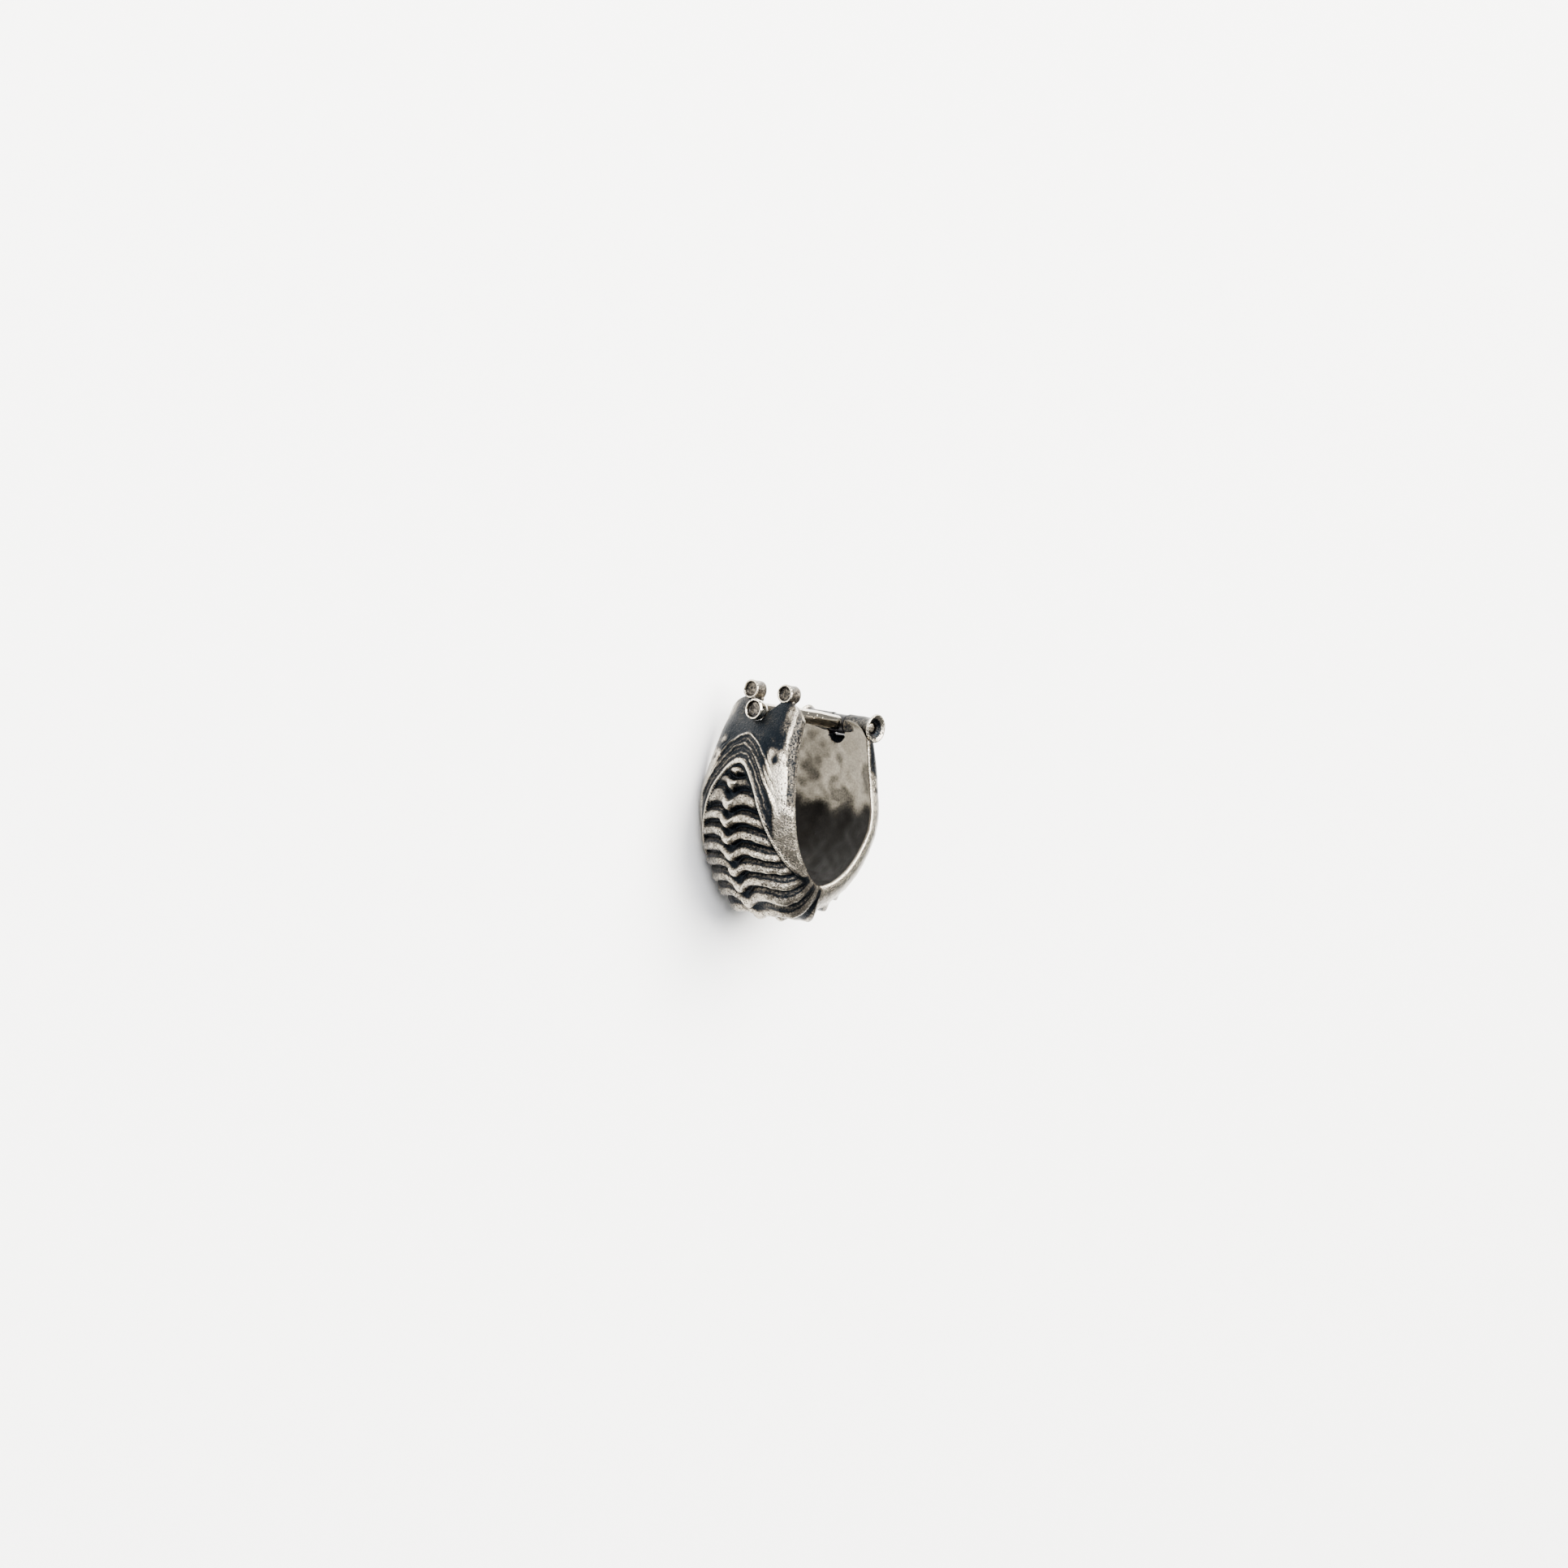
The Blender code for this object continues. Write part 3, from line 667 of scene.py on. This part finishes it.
# %%
def prism_object(name, outline, low, high, axis, step=0.15):
    """A finely divided straight prism from an outline, for cutting."""
    outline = np.array(outline)
    closed = np.concatenate([outline, outline[:1]])
    fine = []
    for start, end in zip(closed, closed[1:]):
        count = max(1, int(np.linalg.norm(end - start) / step))
        for share in np.arange(count) / count:
            fine.append(start + (end - start) * share)
    fine = np.array(fine)
    levels = np.linspace(low, high, max(2, int((high - low) / step)))
    points = []
    for level in levels:
        flat = np.full(len(fine), level)
        if axis == "x":
            points.append(np.stack([flat, fine[:, 1], fine[:, 0]], axis=1))
        else:
            points.append(np.stack([fine[:, 0], fine[:, 1], flat], axis=1))
    count = len(fine)
    faces = ring_faces(len(levels), count)
    faces.append(tuple(range(count)))
    faces.append(tuple(range((len(levels) - 1) * count, len(levels) * count)))
    return make_object(name, np.concatenate(points), faces)


def arc(centre, radius, start, end, steps):
    turn = np.linspace(start, end, steps + 1)
    return [(centre[0] + radius * math.cos(t), centre[1] + radius * math.sin(t)) for t in turn]


def notch_outline():
    centre = NOTCH_BOTTOM + NOTCH_RADIUS
    above = LEG_HEIGHT + BAR_RADIUS
    flare = math.atan2(NOTCH_HALF_TOP - NOTCH_RADIUS, LEG_HEIGHT - centre)
    reach = NOTCH_HALF_TOP + BAR_RADIUS * math.tan(flare)
    below = arc((0.0, centre), NOTCH_RADIUS, math.pi, 2 * math.pi, 24)
    return [(-reach, above)] + below + [(reach, above)]


def recess_outline(half):
    centre = RECESS_BOTTOM + half
    below = arc((0.0, centre), half, math.pi, 2 * math.pi, 24)
    return [(-half, BAR_HEIGHT)] + below + [(half, BAR_HEIGHT)]


def pocket_outline():
    radius = KNUCKLE_RADIUS + KNUCKLE_CLEARANCE
    inner = HINGE_OUT - 2.0 * FLARE_RADIUS
    above = BAR_HEIGHT + 2.0 * FLARE_RADIUS
    below = BAR_HEIGHT - BAR_RADIUS - 2.0 * KNUCKLE_CLEARANCE
    start = math.pi + math.asin((BAR_HEIGHT - below) / radius)
    outline = [(HINGE_OUT + radius, above), (inner, above), (inner, below)]
    return outline + arc((HINGE_OUT, BAR_HEIGHT), radius, start, 2 * math.pi, 24)


def soften(obj, low_y, sharp=38.0, rounds=3):
    """Round the cut edges above a height by easing the points beside them."""
    work = bmesh.new()
    work.from_mesh(obj.data)
    bmesh.ops.remove_doubles(work, verts=work.verts, dist=0.002 * MM)
    limit = (low_y + SHIFT[1]) * MM
    chosen = set()
    for edge in work.edges:
        if len(edge.link_faces) == 2 and edge.verts[0].co.y > limit:
            if edge.calc_face_angle(0.0) > math.radians(sharp):
                chosen.update(edge.verts)
    for _ in range(rounds):
        bmesh.ops.smooth_vert(work, verts=list(chosen), factor=0.5,
                              use_axis_x=True, use_axis_y=True, use_axis_z=True)
    work.to_mesh(obj.data)
    work.free()


def carry_fields(obj, points, fields, cut_values, reach=0.09):
    """Give each point the fields of the nearest uncut point, or a cut's values."""
    tree = kdtree.KDTree(len(points))
    for index, point in enumerate(points):
        tree.insert(point, index)
    tree.balance()
    mesh = obj.data
    nearest = [tree.find(vertex.co) for vertex in mesh.vertices]
    for label, values in fields.items():
        if label in mesh.attributes:
            mesh.attributes.remove(mesh.attributes[label])
        layer = mesh.attributes.new(label, "FLOAT", "POINT")
        found = [
            values[index] if distance < reach * MM else cut_values[label]
            for _, index, distance in nearest
        ]
        layer.data.foreach_set("value", found)


def read_field(mesh, label):
    values = np.zeros(len(mesh.vertices), dtype=np.float32)
    mesh.attributes[label].data.foreach_get("value", values)
    return values


def cut_with(obj, cutters, cut_values):
    """Cut an object with each cutter and keep its fields on what is left."""
    before = [vertex.co.copy() for vertex in obj.data.vertices]
    fields = {label: read_field(obj.data, label) for label in cut_values}
    for cutter in cutters:
        cut(obj, cutter)
    carry_fields(obj, before, fields, cut_values)


# Cut edges are softened from this far below the recess
SOFTEN_BELOW = 0.18

# The barrel's place is cut a little longer and thinner than the barrel
PLACE_LONGER = 0.4
PLACE_THINNER = 0.06
gap = KNUCKLE_HALF_LENGTH + KNUCKLE_CLEARANCE
centre = (HINGE_OUT, BAR_HEIGHT, 0.0)
place_reach = BARREL_HALF_LENGTH + PLACE_LONGER
place_radius = BARREL_RADIUS - PLACE_THINNER
barrel_place = [(-place_reach, place_radius), (place_reach, place_radius)]

band = cast_band()
cut_with(
    band,
    [
        prism_object("notch_cut", notch_outline(), -2.0 * HEAD_REACH, -0.5 * OPENING_HALF_TOP, "x"),
        make_object("barrel_cut", *turned_surface(barrel_place, centre, (0, 0, 1), 72)),
        prism_object("pocket_cut", pocket_outline(), -gap, gap, "z"),
        prism_object("recess_cut", recess_outline(gap), HINGE_OUT - 2 * FLARE_RADIUS,
                     HINGE_OUT + RECESS_PAST_AXIS, "x"),
    ],
    # Cut walls get near-black metal: patina kept in these hollows, with painted shade in the deep pocket
    # and recess
    {"bright": 0.08, "pits": 0.5, "inner": 0.0},
)
soften(band, RECESS_BOTTOM - SOFTEN_BELOW)
band.data.shade_smooth()

# %% [markdown]
# ### Hinge barrel
#
# A tube across the hinged leg with rolled ends, each with a cup where the pin
# sits. The knuckle's pocket opens its middle to the inside and the top.

# %%
def turned_object(name, profile, centre, axis, sides=64, closed=False, lumpy=0.0, seed=1, fields=None):
    points, faces = turned_surface(profile, centre, axis, sides, closed)
    if lumpy:
        middle = np.array(centre, dtype=float)
        along = np.array(axis, dtype=float)
        offset = points - middle
        spokes = offset - np.outer(offset @ along, along)
        size = np.linalg.norm(spokes, axis=1, keepdims=True)
        points = points + spokes / np.maximum(size, 0.01) * lumpy * lumps(points, 0.7, seed)[:, None]
    values = {}
    for label, per_ring in (fields or {}).items():
        values[label] = np.repeat(np.asarray(per_ring, dtype=float), sides)
    return make_object(name, points, faces, values)


def spaced(profile, step):
    """The profile with extra points, no further apart than a step."""
    profile = [np.array(point, dtype=float) for point in profile]
    out = []
    for start, finish in zip(profile, profile[1:]):
        count = max(1, int(np.ceil(np.linalg.norm(finish - start) / step)))
        for share in np.arange(count) / count:
            out.append(start + (finish - start) * share)
    out.append(profile[-1])
    return out


def hinge_barrel():
    end = BARREL_HALF_LENGTH
    mouth = end - PIN_RECESS
    neck = end - FLARE_LENGTH
    hole = PIN_RADIUS + PIN_CLEARANCE
    corners = [
        (0.0, BARREL_RADIUS - 0.01), (neck - 0.1, BARREL_RADIUS - 0.01), (end - 0.26, BARREL_RADIUS + 0.12),
        (end - 0.13, FLARE_RADIUS - 0.02), (end, FLARE_RADIUS - 0.06), (end, BARREL_MOUTH_RADIUS - 0.02),
        (end - 0.12, BARREL_MOUTH_RADIUS - 0.14), (mouth + 0.06, hole + 0.1), (mouth, hole), (0.0, hole),
    ]
    half = spaced(rounded(corners, 0.09), 0.1)
    other = [np.array((-place, radius)) for place, radius in half[-2:0:-1]]
    profile = np.array(half + other)
    outer = (profile[:, 1] > BARREL_RADIUS - 0.05) & (np.abs(profile[:, 0]) < end - 0.01)
    outer |= profile[:, 1] > BARREL_MOUTH_RADIUS - 0.04
    at_end = smooth_step((np.abs(profile[:, 0]) - end + 0.35) / 0.2)
    bright = np.where(outer, 0.22 + 0.7 * at_end, 0.16)
    barrel = turned_object("hinge_barrel", profile, centre, (0, 0, 1), 72, closed=True, lumpy=0.015,
                           seed=41, fields={"bright": bright, "pits": np.full(len(bright), 0.4)})
    cut_with(barrel, [prism_object("pocket_cut", pocket_outline(), -gap, gap, "z", 0.1)],
             {"bright": 0.3, "pits": 0.4})
    soften(barrel, 0.0, rounds=1)
    barrel.data.shade_smooth()
    return barrel


barrel = hinge_barrel()

# %% [markdown]
# ### Studs beside the notch
#
# Short cast tubes with a blackened cup in their outer end and a little lump of
# solder under each.

# %%
def stud(name, side, seed):
    foot = (-STUD_REACH + STUD_LENGTH, LEG_HEIGHT + STUD_RADIUS - STUD_SINK, side * STUD_SPACING / 2)
    corners = [
        (0.0, 0.02), (0.0, STUD_RADIUS - 0.12), (0.08, STUD_RADIUS - 0.03),
        (0.5 * STUD_LENGTH, STUD_RADIUS - 0.05), (STUD_LENGTH - 0.1, STUD_RADIUS),
        (STUD_LENGTH, STUD_RADIUS - 0.06), (STUD_LENGTH, STUD_RADIUS - CUP_WALL + 0.02),
        (STUD_LENGTH - 0.1, STUD_RADIUS - CUP_WALL - 0.03),
        (STUD_LENGTH - 0.7 * STUD_CUP_DEPTH, STUD_RADIUS - 1.35 * CUP_WALL),
        (STUD_LENGTH - STUD_CUP_DEPTH, 0.5 * STUD_RADIUS), (STUD_LENGTH - 0.9 * STUD_CUP_DEPTH, 0.02),
    ]
    profile = np.array(spaced(rounded(corners, 0.06), 0.08))
    in_cup = (profile[:, 0] > 0.5) & (profile[:, 1] < STUD_RADIUS - CUP_WALL - 0.01)
    edge = smooth_step((profile[:, 0] - STUD_LENGTH + 0.15) / 0.12) * (~in_cup)
    bright = np.where(in_cup, 0.30, 0.42 + 0.5 * edge)
    return turned_object(name, profile, foot, (-1, 0, 0), 64, lumpy=0.022, seed=seed,
                         fields={"bright": bright, "pits": np.where(in_cup, 0.9, 0.45)})


def solder(name, side, seed):
    """An uneven mound of solder at the foot of a stud."""
    rng = np.random.default_rng(seed)
    work = bmesh.new()
    blobs = []
    for _ in range(9):
        x = -STUD_REACH + STUD_LENGTH * rng.uniform(0.15, 0.95)
        z = side * STUD_SPACING / 2 + rng.uniform(-0.5, 0.5)
        blobs.append((x, LEG_HEIGHT + 0.02, z, rng.uniform(0.12, 0.22)))
    for x, y, z, radius in blobs:
        spot = Vector((x + SHIFT[0], y + SHIFT[1], z + SHIFT[2])) * MM
        bmesh.ops.create_icosphere(work, subdivisions=3, radius=radius * MM,
                                   matrix=Matrix.Translation(spot))
    mesh = bpy.data.meshes.new(name)
    work.to_mesh(mesh)
    work.free()
    for label, value in (("bright", 0.3), ("pits", 0.6)):
        layer = mesh.attributes.new(label, "FLOAT", "POINT")
        layer.data.foreach_set("value", [value] * len(mesh.vertices))
    mesh.shade_smooth()
    obj = bpy.data.objects.new(name, mesh)
    bpy.context.scene.collection.objects.link(obj)
    return obj


studs = [stud("stud_near", 1, 51), stud("stud_far", -1, 57)]
solders = [solder("solder_near", 1, 5), solder("solder_far", -1, 9)]

# %% [markdown]
# ## The wearing bar
#
# A round bar, slightly arched, with a cupped head at the notch and a knuckle
# on the hinge pin.

# %%
def bar_rod():
    start = -HEAD_REACH + HEAD_LENGTH - CUP_WALL
    finish = HINGE_OUT - KNUCKLE_RADIUS + 0.25
    steps, sides = 90, 48
    share = np.linspace(0.0, 1.0, steps + 1)
    x = start + (finish - start) * share
    whole = (x - start) / (HINGE_OUT - start)
    lift = BAR_ARCH * 4.0 * whole * (1.0 - whole)
    turn = 2.0 * math.pi * (np.arange(sides) + 0.5) / sides
    radius = BAR_RADIUS - 0.012
    points = np.stack([
        np.repeat(x, sides),
        (BAR_HEIGHT + lift[:, None] + radius * np.cos(turn)[None]).reshape(-1),
        np.tile(radius * np.sin(turn), steps + 1),
    ], axis=1)
    points[:, 1:] += 0.006 * lumps(points, 1.3, 61)[:, None]
    faces = ring_faces(steps + 1, sides)
    faces.append(tuple(range(sides)))
    faces.append(tuple(range(steps * sides, (steps + 1) * sides)))
    near_end = np.minimum(smooth_step((x - x[0]) / 1.6), smooth_step((x[-1] - x) / 0.8))
    bright = 0.55 + 0.4 * near_end
    return make_object("bar_rod", points, faces,
                       {"bright": np.repeat(bright, sides), "pits": np.full(len(points), 0.12)})


def bar_head():
    foot = (-HEAD_REACH + HEAD_LENGTH, BAR_HEIGHT, 0.0)
    corners = [
        (0.0, 0.02), (0.0, BAR_RADIUS - 0.02), (0.18, BAR_RADIUS + 0.1), (0.45, HEAD_RADIUS - 0.05),
        (HEAD_LENGTH - 0.12, HEAD_RADIUS), (HEAD_LENGTH, HEAD_RADIUS - 0.07),
        (HEAD_LENGTH, HEAD_RADIUS - 0.14), (HEAD_LENGTH - 0.12, HEAD_RADIUS - CUP_WALL - 0.03),
        (HEAD_LENGTH - 0.65 * HEAD_CUP_DEPTH, HEAD_RADIUS - 1.5 * CUP_WALL),
        (HEAD_LENGTH - 0.95 * HEAD_CUP_DEPTH, 0.35 * HEAD_RADIUS), (HEAD_LENGTH - HEAD_CUP_DEPTH, 0.02),
    ]
    profile = np.array(spaced(rounded(corners, 0.07), 0.07))
    in_cup = (profile[:, 0] > 0.5) & (profile[:, 1] < HEAD_RADIUS - CUP_WALL - 0.01)
    bright = np.where(in_cup, 0.2, 0.85)
    return turned_object("bar_head", profile, foot, (-1, 0, 0), 72, lumpy=0.018, seed=71,
                         fields={"bright": bright, "pits": np.full(len(bright), 0.12)})


def bar_knuckle():
    half = KNUCKLE_HALF_LENGTH
    hole = PIN_RADIUS + PIN_CLEARANCE
    corners = [(-half, hole), (-half, KNUCKLE_RADIUS - 0.02), (half, KNUCKLE_RADIUS - 0.02), (half, hole)]
    profile = np.array(spaced(rounded(corners, 0.08), 0.1))
    # The knuckle is given near-black metal: painted shade, where it sits deep in its pocket
    return turned_object("bar_knuckle", profile, centre, (0, 0, 1), 64, closed=True, lumpy=0.01, seed=73,
                         fields={"bright": np.full(len(profile), 0.1), "pits": np.full(len(profile), 0.3)})


def hinge_pin():
    reach = BARREL_HALF_LENGTH - PIN_RECESS - PIN_CLEARANCE
    corners = [(-reach, 0.02), (-reach + 0.03, 0.7 * PIN_RADIUS), (-reach + 0.12, PIN_RADIUS - 0.01),
               (reach - 0.12, PIN_RADIUS - 0.01), (reach - 0.03, 0.7 * PIN_RADIUS), (reach, 0.02)]
    profile = np.array(spaced(rounded(corners, 0.1), 0.3))
    return turned_object("pin_wire", profile, centre, (0, 0, 1), 48,
                         fields={"bright": np.full(len(profile), 0.55), "pits": np.full(len(profile), 0.3)})


bar_pieces = [bar_rod(), bar_head(), bar_knuckle()]
pin = hinge_pin()

# %% [markdown]
# ## Materials
#
# Colours are written as sRGB hex and turned into linear light by one function.
# `per_mm` turns the size of a pattern's cells in millimetres into a scale for
# Blender's textures, whose coordinates here are metres.

# %%
def linear(hex_colour):
    """Linear RGBA from an sRGB hex colour."""
    channels = []
    for place in (0, 2, 4):
        value = int(hex_colour.lstrip("#")[place:place + 2], 16) / 255.0
        channels.append(value / 12.92 if value <= 0.04045 else ((value + 0.055) / 1.055) ** 2.4)
    return (*channels, 1.0)


def per_mm(size):
    """Texture scale for a pattern whose cells are this many mm."""
    return 1.0 / (size * MM)


def add(tree, kind, inputs=None, **settings):
    """Add a node, set its properties, and set or link its inputs."""
    node = tree.nodes.new(kind)
    for label, value in settings.items():
        setattr(node, label, value)
    for label, value in (inputs or {}).items():
        if isinstance(value, bpy.types.NodeSocket):
            tree.links.new(value, node.inputs[label])
        else:
            node.inputs[label].default_value = value
    return node


def math_node(tree, operation, first, second):
    return add(tree, "ShaderNodeMath", {0: first, 1: second}, operation=operation).outputs[0]


def step_node(tree, value, low, high, to_low=0.0, to_high=1.0):
    """A soft step of a value, from one number at `low` to another at `high`."""
    node = add(tree, "ShaderNodeMapRange", {"Value": value, "From Min": low, "From Max": high,
                                            "To Min": to_low, "To Max": to_high},
               interpolation_type="SMOOTHSTEP")
    return node.outputs[0]


def mix_colour(tree, share, first, second):
    node = add(tree, "ShaderNodeMix", data_type="RGBA")
    sockets = node.inputs
    for socket, value in ((sockets["Factor"], share), (sockets[6], first), (sockets[7], second)):
        if isinstance(value, bpy.types.NodeSocket):
            tree.links.new(value, socket)
        else:
            socket.default_value = value
    return node.outputs[2]


def pit_dots(tree, where, pits, spacing):
    """Round pits, each in one of the cells that `pits` chooses."""
    cells = add(tree, "ShaderNodeTexVoronoi",
                {"Vector": where, "Scale": per_mm(spacing), "Randomness": 0.9})
    chance = add(tree, "ShaderNodeSeparateColor", {"Color": cells.outputs["Color"]}).outputs[0]
    wanted = math_node(tree, "MULTIPLY", pits, 0.8)
    chosen = step_node(tree, math_node(tree, "SUBTRACT", wanted, chance), -0.02, 0.02)
    dot = step_node(tree, cells.outputs["Distance"], 0.42, 0.24)
    return math_node(tree, "MULTIPLY", dot, chosen)


def uneven_wear(tree, bright, grain, cloud, uneven_by):
    """How light the metal is: polish, painted highlights and painted shade in `bright`, broken up by fine
    grain and soft clouds.
    """
    fine = math_node(tree, "MULTIPLY", math_node(tree, "SUBTRACT", grain, 0.5), 1.7)
    soft = math_node(tree, "MULTIPLY", math_node(tree, "SUBTRACT", cloud, 0.5), 0.5)
    uneven = math_node(tree, "ADD", fine, soft)
    amount = math_node(tree, "MULTIPLY", math_node(tree, "ADD", bright, 0.25), uneven_by)
    worn = math_node(tree, "ADD", bright, math_node(tree, "MULTIPLY", uneven, amount))
    return step_node(tree, worn, 0.0, 0.95)


def silver(name, light, dark, deep, rough, pit, grain_depth, uneven_by=1.0):
    """Cast silver, blackened and rubbed bright, with painted highlights and shade, where `bright` says so.

    `light`, `dark` and `deep` are the polished, dull and black metal. `rough` is
    the roughness of the polished and of the black metal, `pit` the pits' spacing
    and depth in mm, and `grain_depth` the depth of the casting's skin in mm.
    """
    material = bpy.data.materials.new(name)
    material.use_nodes = True
    tree = material.node_tree
    shader = tree.nodes["Principled BSDF"]
    spacing, pit_depth = pit
    where = add(tree, "ShaderNodeTexCoord").outputs["Object"]
    bright = add(tree, "ShaderNodeAttribute", attribute_name="bright").outputs["Fac"]
    pits = add(tree, "ShaderNodeAttribute", attribute_name="pits").outputs["Fac"]
    grain = add(tree, "ShaderNodeTexNoise", {"Vector": where, "Scale": per_mm(0.16), "Detail": 3.0,
                                             "Roughness": 0.65}).outputs["Fac"]
    cloud = add(tree, "ShaderNodeTexNoise",
                {"Vector": where, "Scale": per_mm(0.9), "Detail": 3.0}).outputs["Fac"]

    polish = uneven_wear(tree, bright, grain, cloud, uneven_by)
    dots = pit_dots(tree, where, pits, spacing)
    left = math_node(tree, "SUBTRACT", 1.0, math_node(tree, "MULTIPLY", dots, 0.9))
    shown = math_node(tree, "MULTIPLY", polish, left)

    metal = mix_colour(tree, step_node(tree, shown, 0.4, 0.95), linear(dark), linear(light))
    colour = mix_colour(tree, step_node(tree, shown, 0.0, 0.5), linear(deep), metal)
    tree.links.new(colour, shader.inputs["Base Color"])
    shader.inputs["Metallic"].default_value = 1.0
    rough_bright, rough_dark = rough
    roughness = step_node(tree, shown, 0.1, 0.95, rough_dark, rough_bright)
    tree.links.new(roughness, shader.inputs["Roughness"])

    skin = math_node(tree, "MULTIPLY", grain, grain_depth)
    height = math_node(tree, "SUBTRACT", skin, math_node(tree, "MULTIPLY", dots, pit_depth))
    bumped = add(tree, "ShaderNodeBump", {"Height": height, "Distance": MM, "Strength": 1.0})
    tree.links.new(bumped.outputs["Normal"], shader.inputs["Normal"])
    return material


darkened = silver("oxidised_silver", "#A49D8F", "#5A544B", "#0C1014",
                  rough=(0.22, 0.42), pit=(0.17, 0.05), grain_depth=0.055)
inner_silver = silver("inner_silver", "#8F897D", "#686359", "#11100F",
                      rough=(0.34, 0.46), pit=(0.30, 0.02), grain_depth=0.012, uneven_by=0.35)
polished = silver("polished_silver", "#C9C1B2", "#7D7568", "#17181B",
                  rough=(0.12, 0.34), pit=(0.22, 0.02), grain_depth=0.006)

# %% [markdown]
# ## Putting it together

# %%
ring_pieces = [band, barrel, *studs, *solders]
for piece in ring_pieces:
    piece.data.materials.clear()
    piece.data.materials.append(darkened)
    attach(piece, "ring")
band.data.materials.append(inner_silver)
marks = read_field(band.data, "inner")
for face in band.data.polygons:
    face.material_index = int(min(marks[corner] for corner in face.vertices) > 0.9)
for piece in bar_pieces:
    piece.data.materials.append(polished)
    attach(piece, "bar")
pin.data.materials.append(darkened)
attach(pin, "ring")
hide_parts("band")
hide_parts("bar")
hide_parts("hinge_pin")

# %% [markdown]
# ## Floor, light and camera

# %%
FLOOR_HALF = 1.2


def floor():
    size = FLOOR_HALF
    mesh = bpy.data.meshes.new("studio_floor")
    corners = [(-size, -size, 0.0), (size, -size, 0.0), (size, size, 0.0), (-size, size, 0.0)]
    mesh.from_pydata(corners, [], [(0, 1, 2, 3)])
    material = bpy.data.materials.new("white_paper")
    material.use_nodes = True
    tree = material.node_tree
    shader = tree.nodes["Principled BSDF"]
    where = add(tree, "ShaderNodeTexCoord").outputs["Object"]
    fibre = add(tree, "ShaderNodeTexNoise",
                {"Vector": where, "Scale": per_mm(3.0), "Detail": 4.0}).outputs["Fac"]
    tone = mix_colour(tree, fibre, linear("#F6F6F5"), linear("#FAFAFA"))
    tree.links.new(tone, shader.inputs["Base Color"])
    shader.inputs["Roughness"].default_value = 0.8
    mesh.materials.append(material)
    obj = bpy.data.objects.new("studio_floor", mesh)
    bpy.context.scene.collection.objects.link(obj)


AIM = Vector((0.0, 0.0, 0.004))


def soft_light(name, way, distance, width, power, tint):
    """A square soft light that looks at the ring from some way off."""
    data = bpy.data.lights.new(name, "AREA")
    data.shape = "SQUARE"
    data.size = width
    data.energy = power
    data.color = linear(tint)[:3]
    lamp = bpy.data.objects.new(name, data)
    spot = way.normalized() * distance
    lamp.location = spot
    lamp.rotation_mode = "QUATERNION"
    lamp.rotation_quaternion = (AIM - spot).to_track_quat("-Z", "Y")
    bpy.context.scene.collection.objects.link(lamp)


def studio_world():
    world = bpy.data.worlds.new("studio")
    world.use_nodes = True
    backdrop = world.node_tree.nodes["Background"]
    backdrop.inputs["Color"].default_value = linear("#F4F5F7")
    backdrop.inputs["Strength"].default_value = 0.38
    bpy.context.scene.world = world


# The camera's own axes in the frame, in the photo's roll
VIEW_BACK = Vector((-0.776, 0.003, 0.631))
VIEW_UP = Vector((-0.0957, 0.9879, -0.1226))
VIEW_RIGHT = Vector((0.6237, 0.1555, 0.766))
LOOK_AT = Vector(SHIFT + np.array((-2.60, 7.561, 1.28))) * MM
DISTANCE = 0.5227


def camera():
    data = bpy.data.cameras.new("camera")
    data.lens = 150.0
    data.sensor_width = 36.0
    data.clip_start = 0.01
    data.clip_end = 20.0
    obj = bpy.data.objects.new("camera", data)
    back = VIEW_BACK.normalized()
    right = VIEW_UP.cross(back).normalized()
    up = back.cross(right)
    turn = Matrix((right, up, back)).transposed()
    obj.matrix_world = Matrix.Translation(LOOK_AT + back * DISTANCE) @ turn.to_4x4()
    bpy.context.scene.collection.objects.link(obj)
    bpy.context.scene.camera = obj


floor()
camera()
soft_light("key", 0.9 * VIEW_RIGHT + 0.5 * VIEW_UP + 0.5 * VIEW_BACK,
           distance=0.8, width=0.8, power=60.0, tint="#FFFCF6")
soft_light("front", Vector((-0.6, 0.3, 0.75)),
           distance=0.85, width=0.45, power=14.0, tint="#FAFBFF")
studio_world()
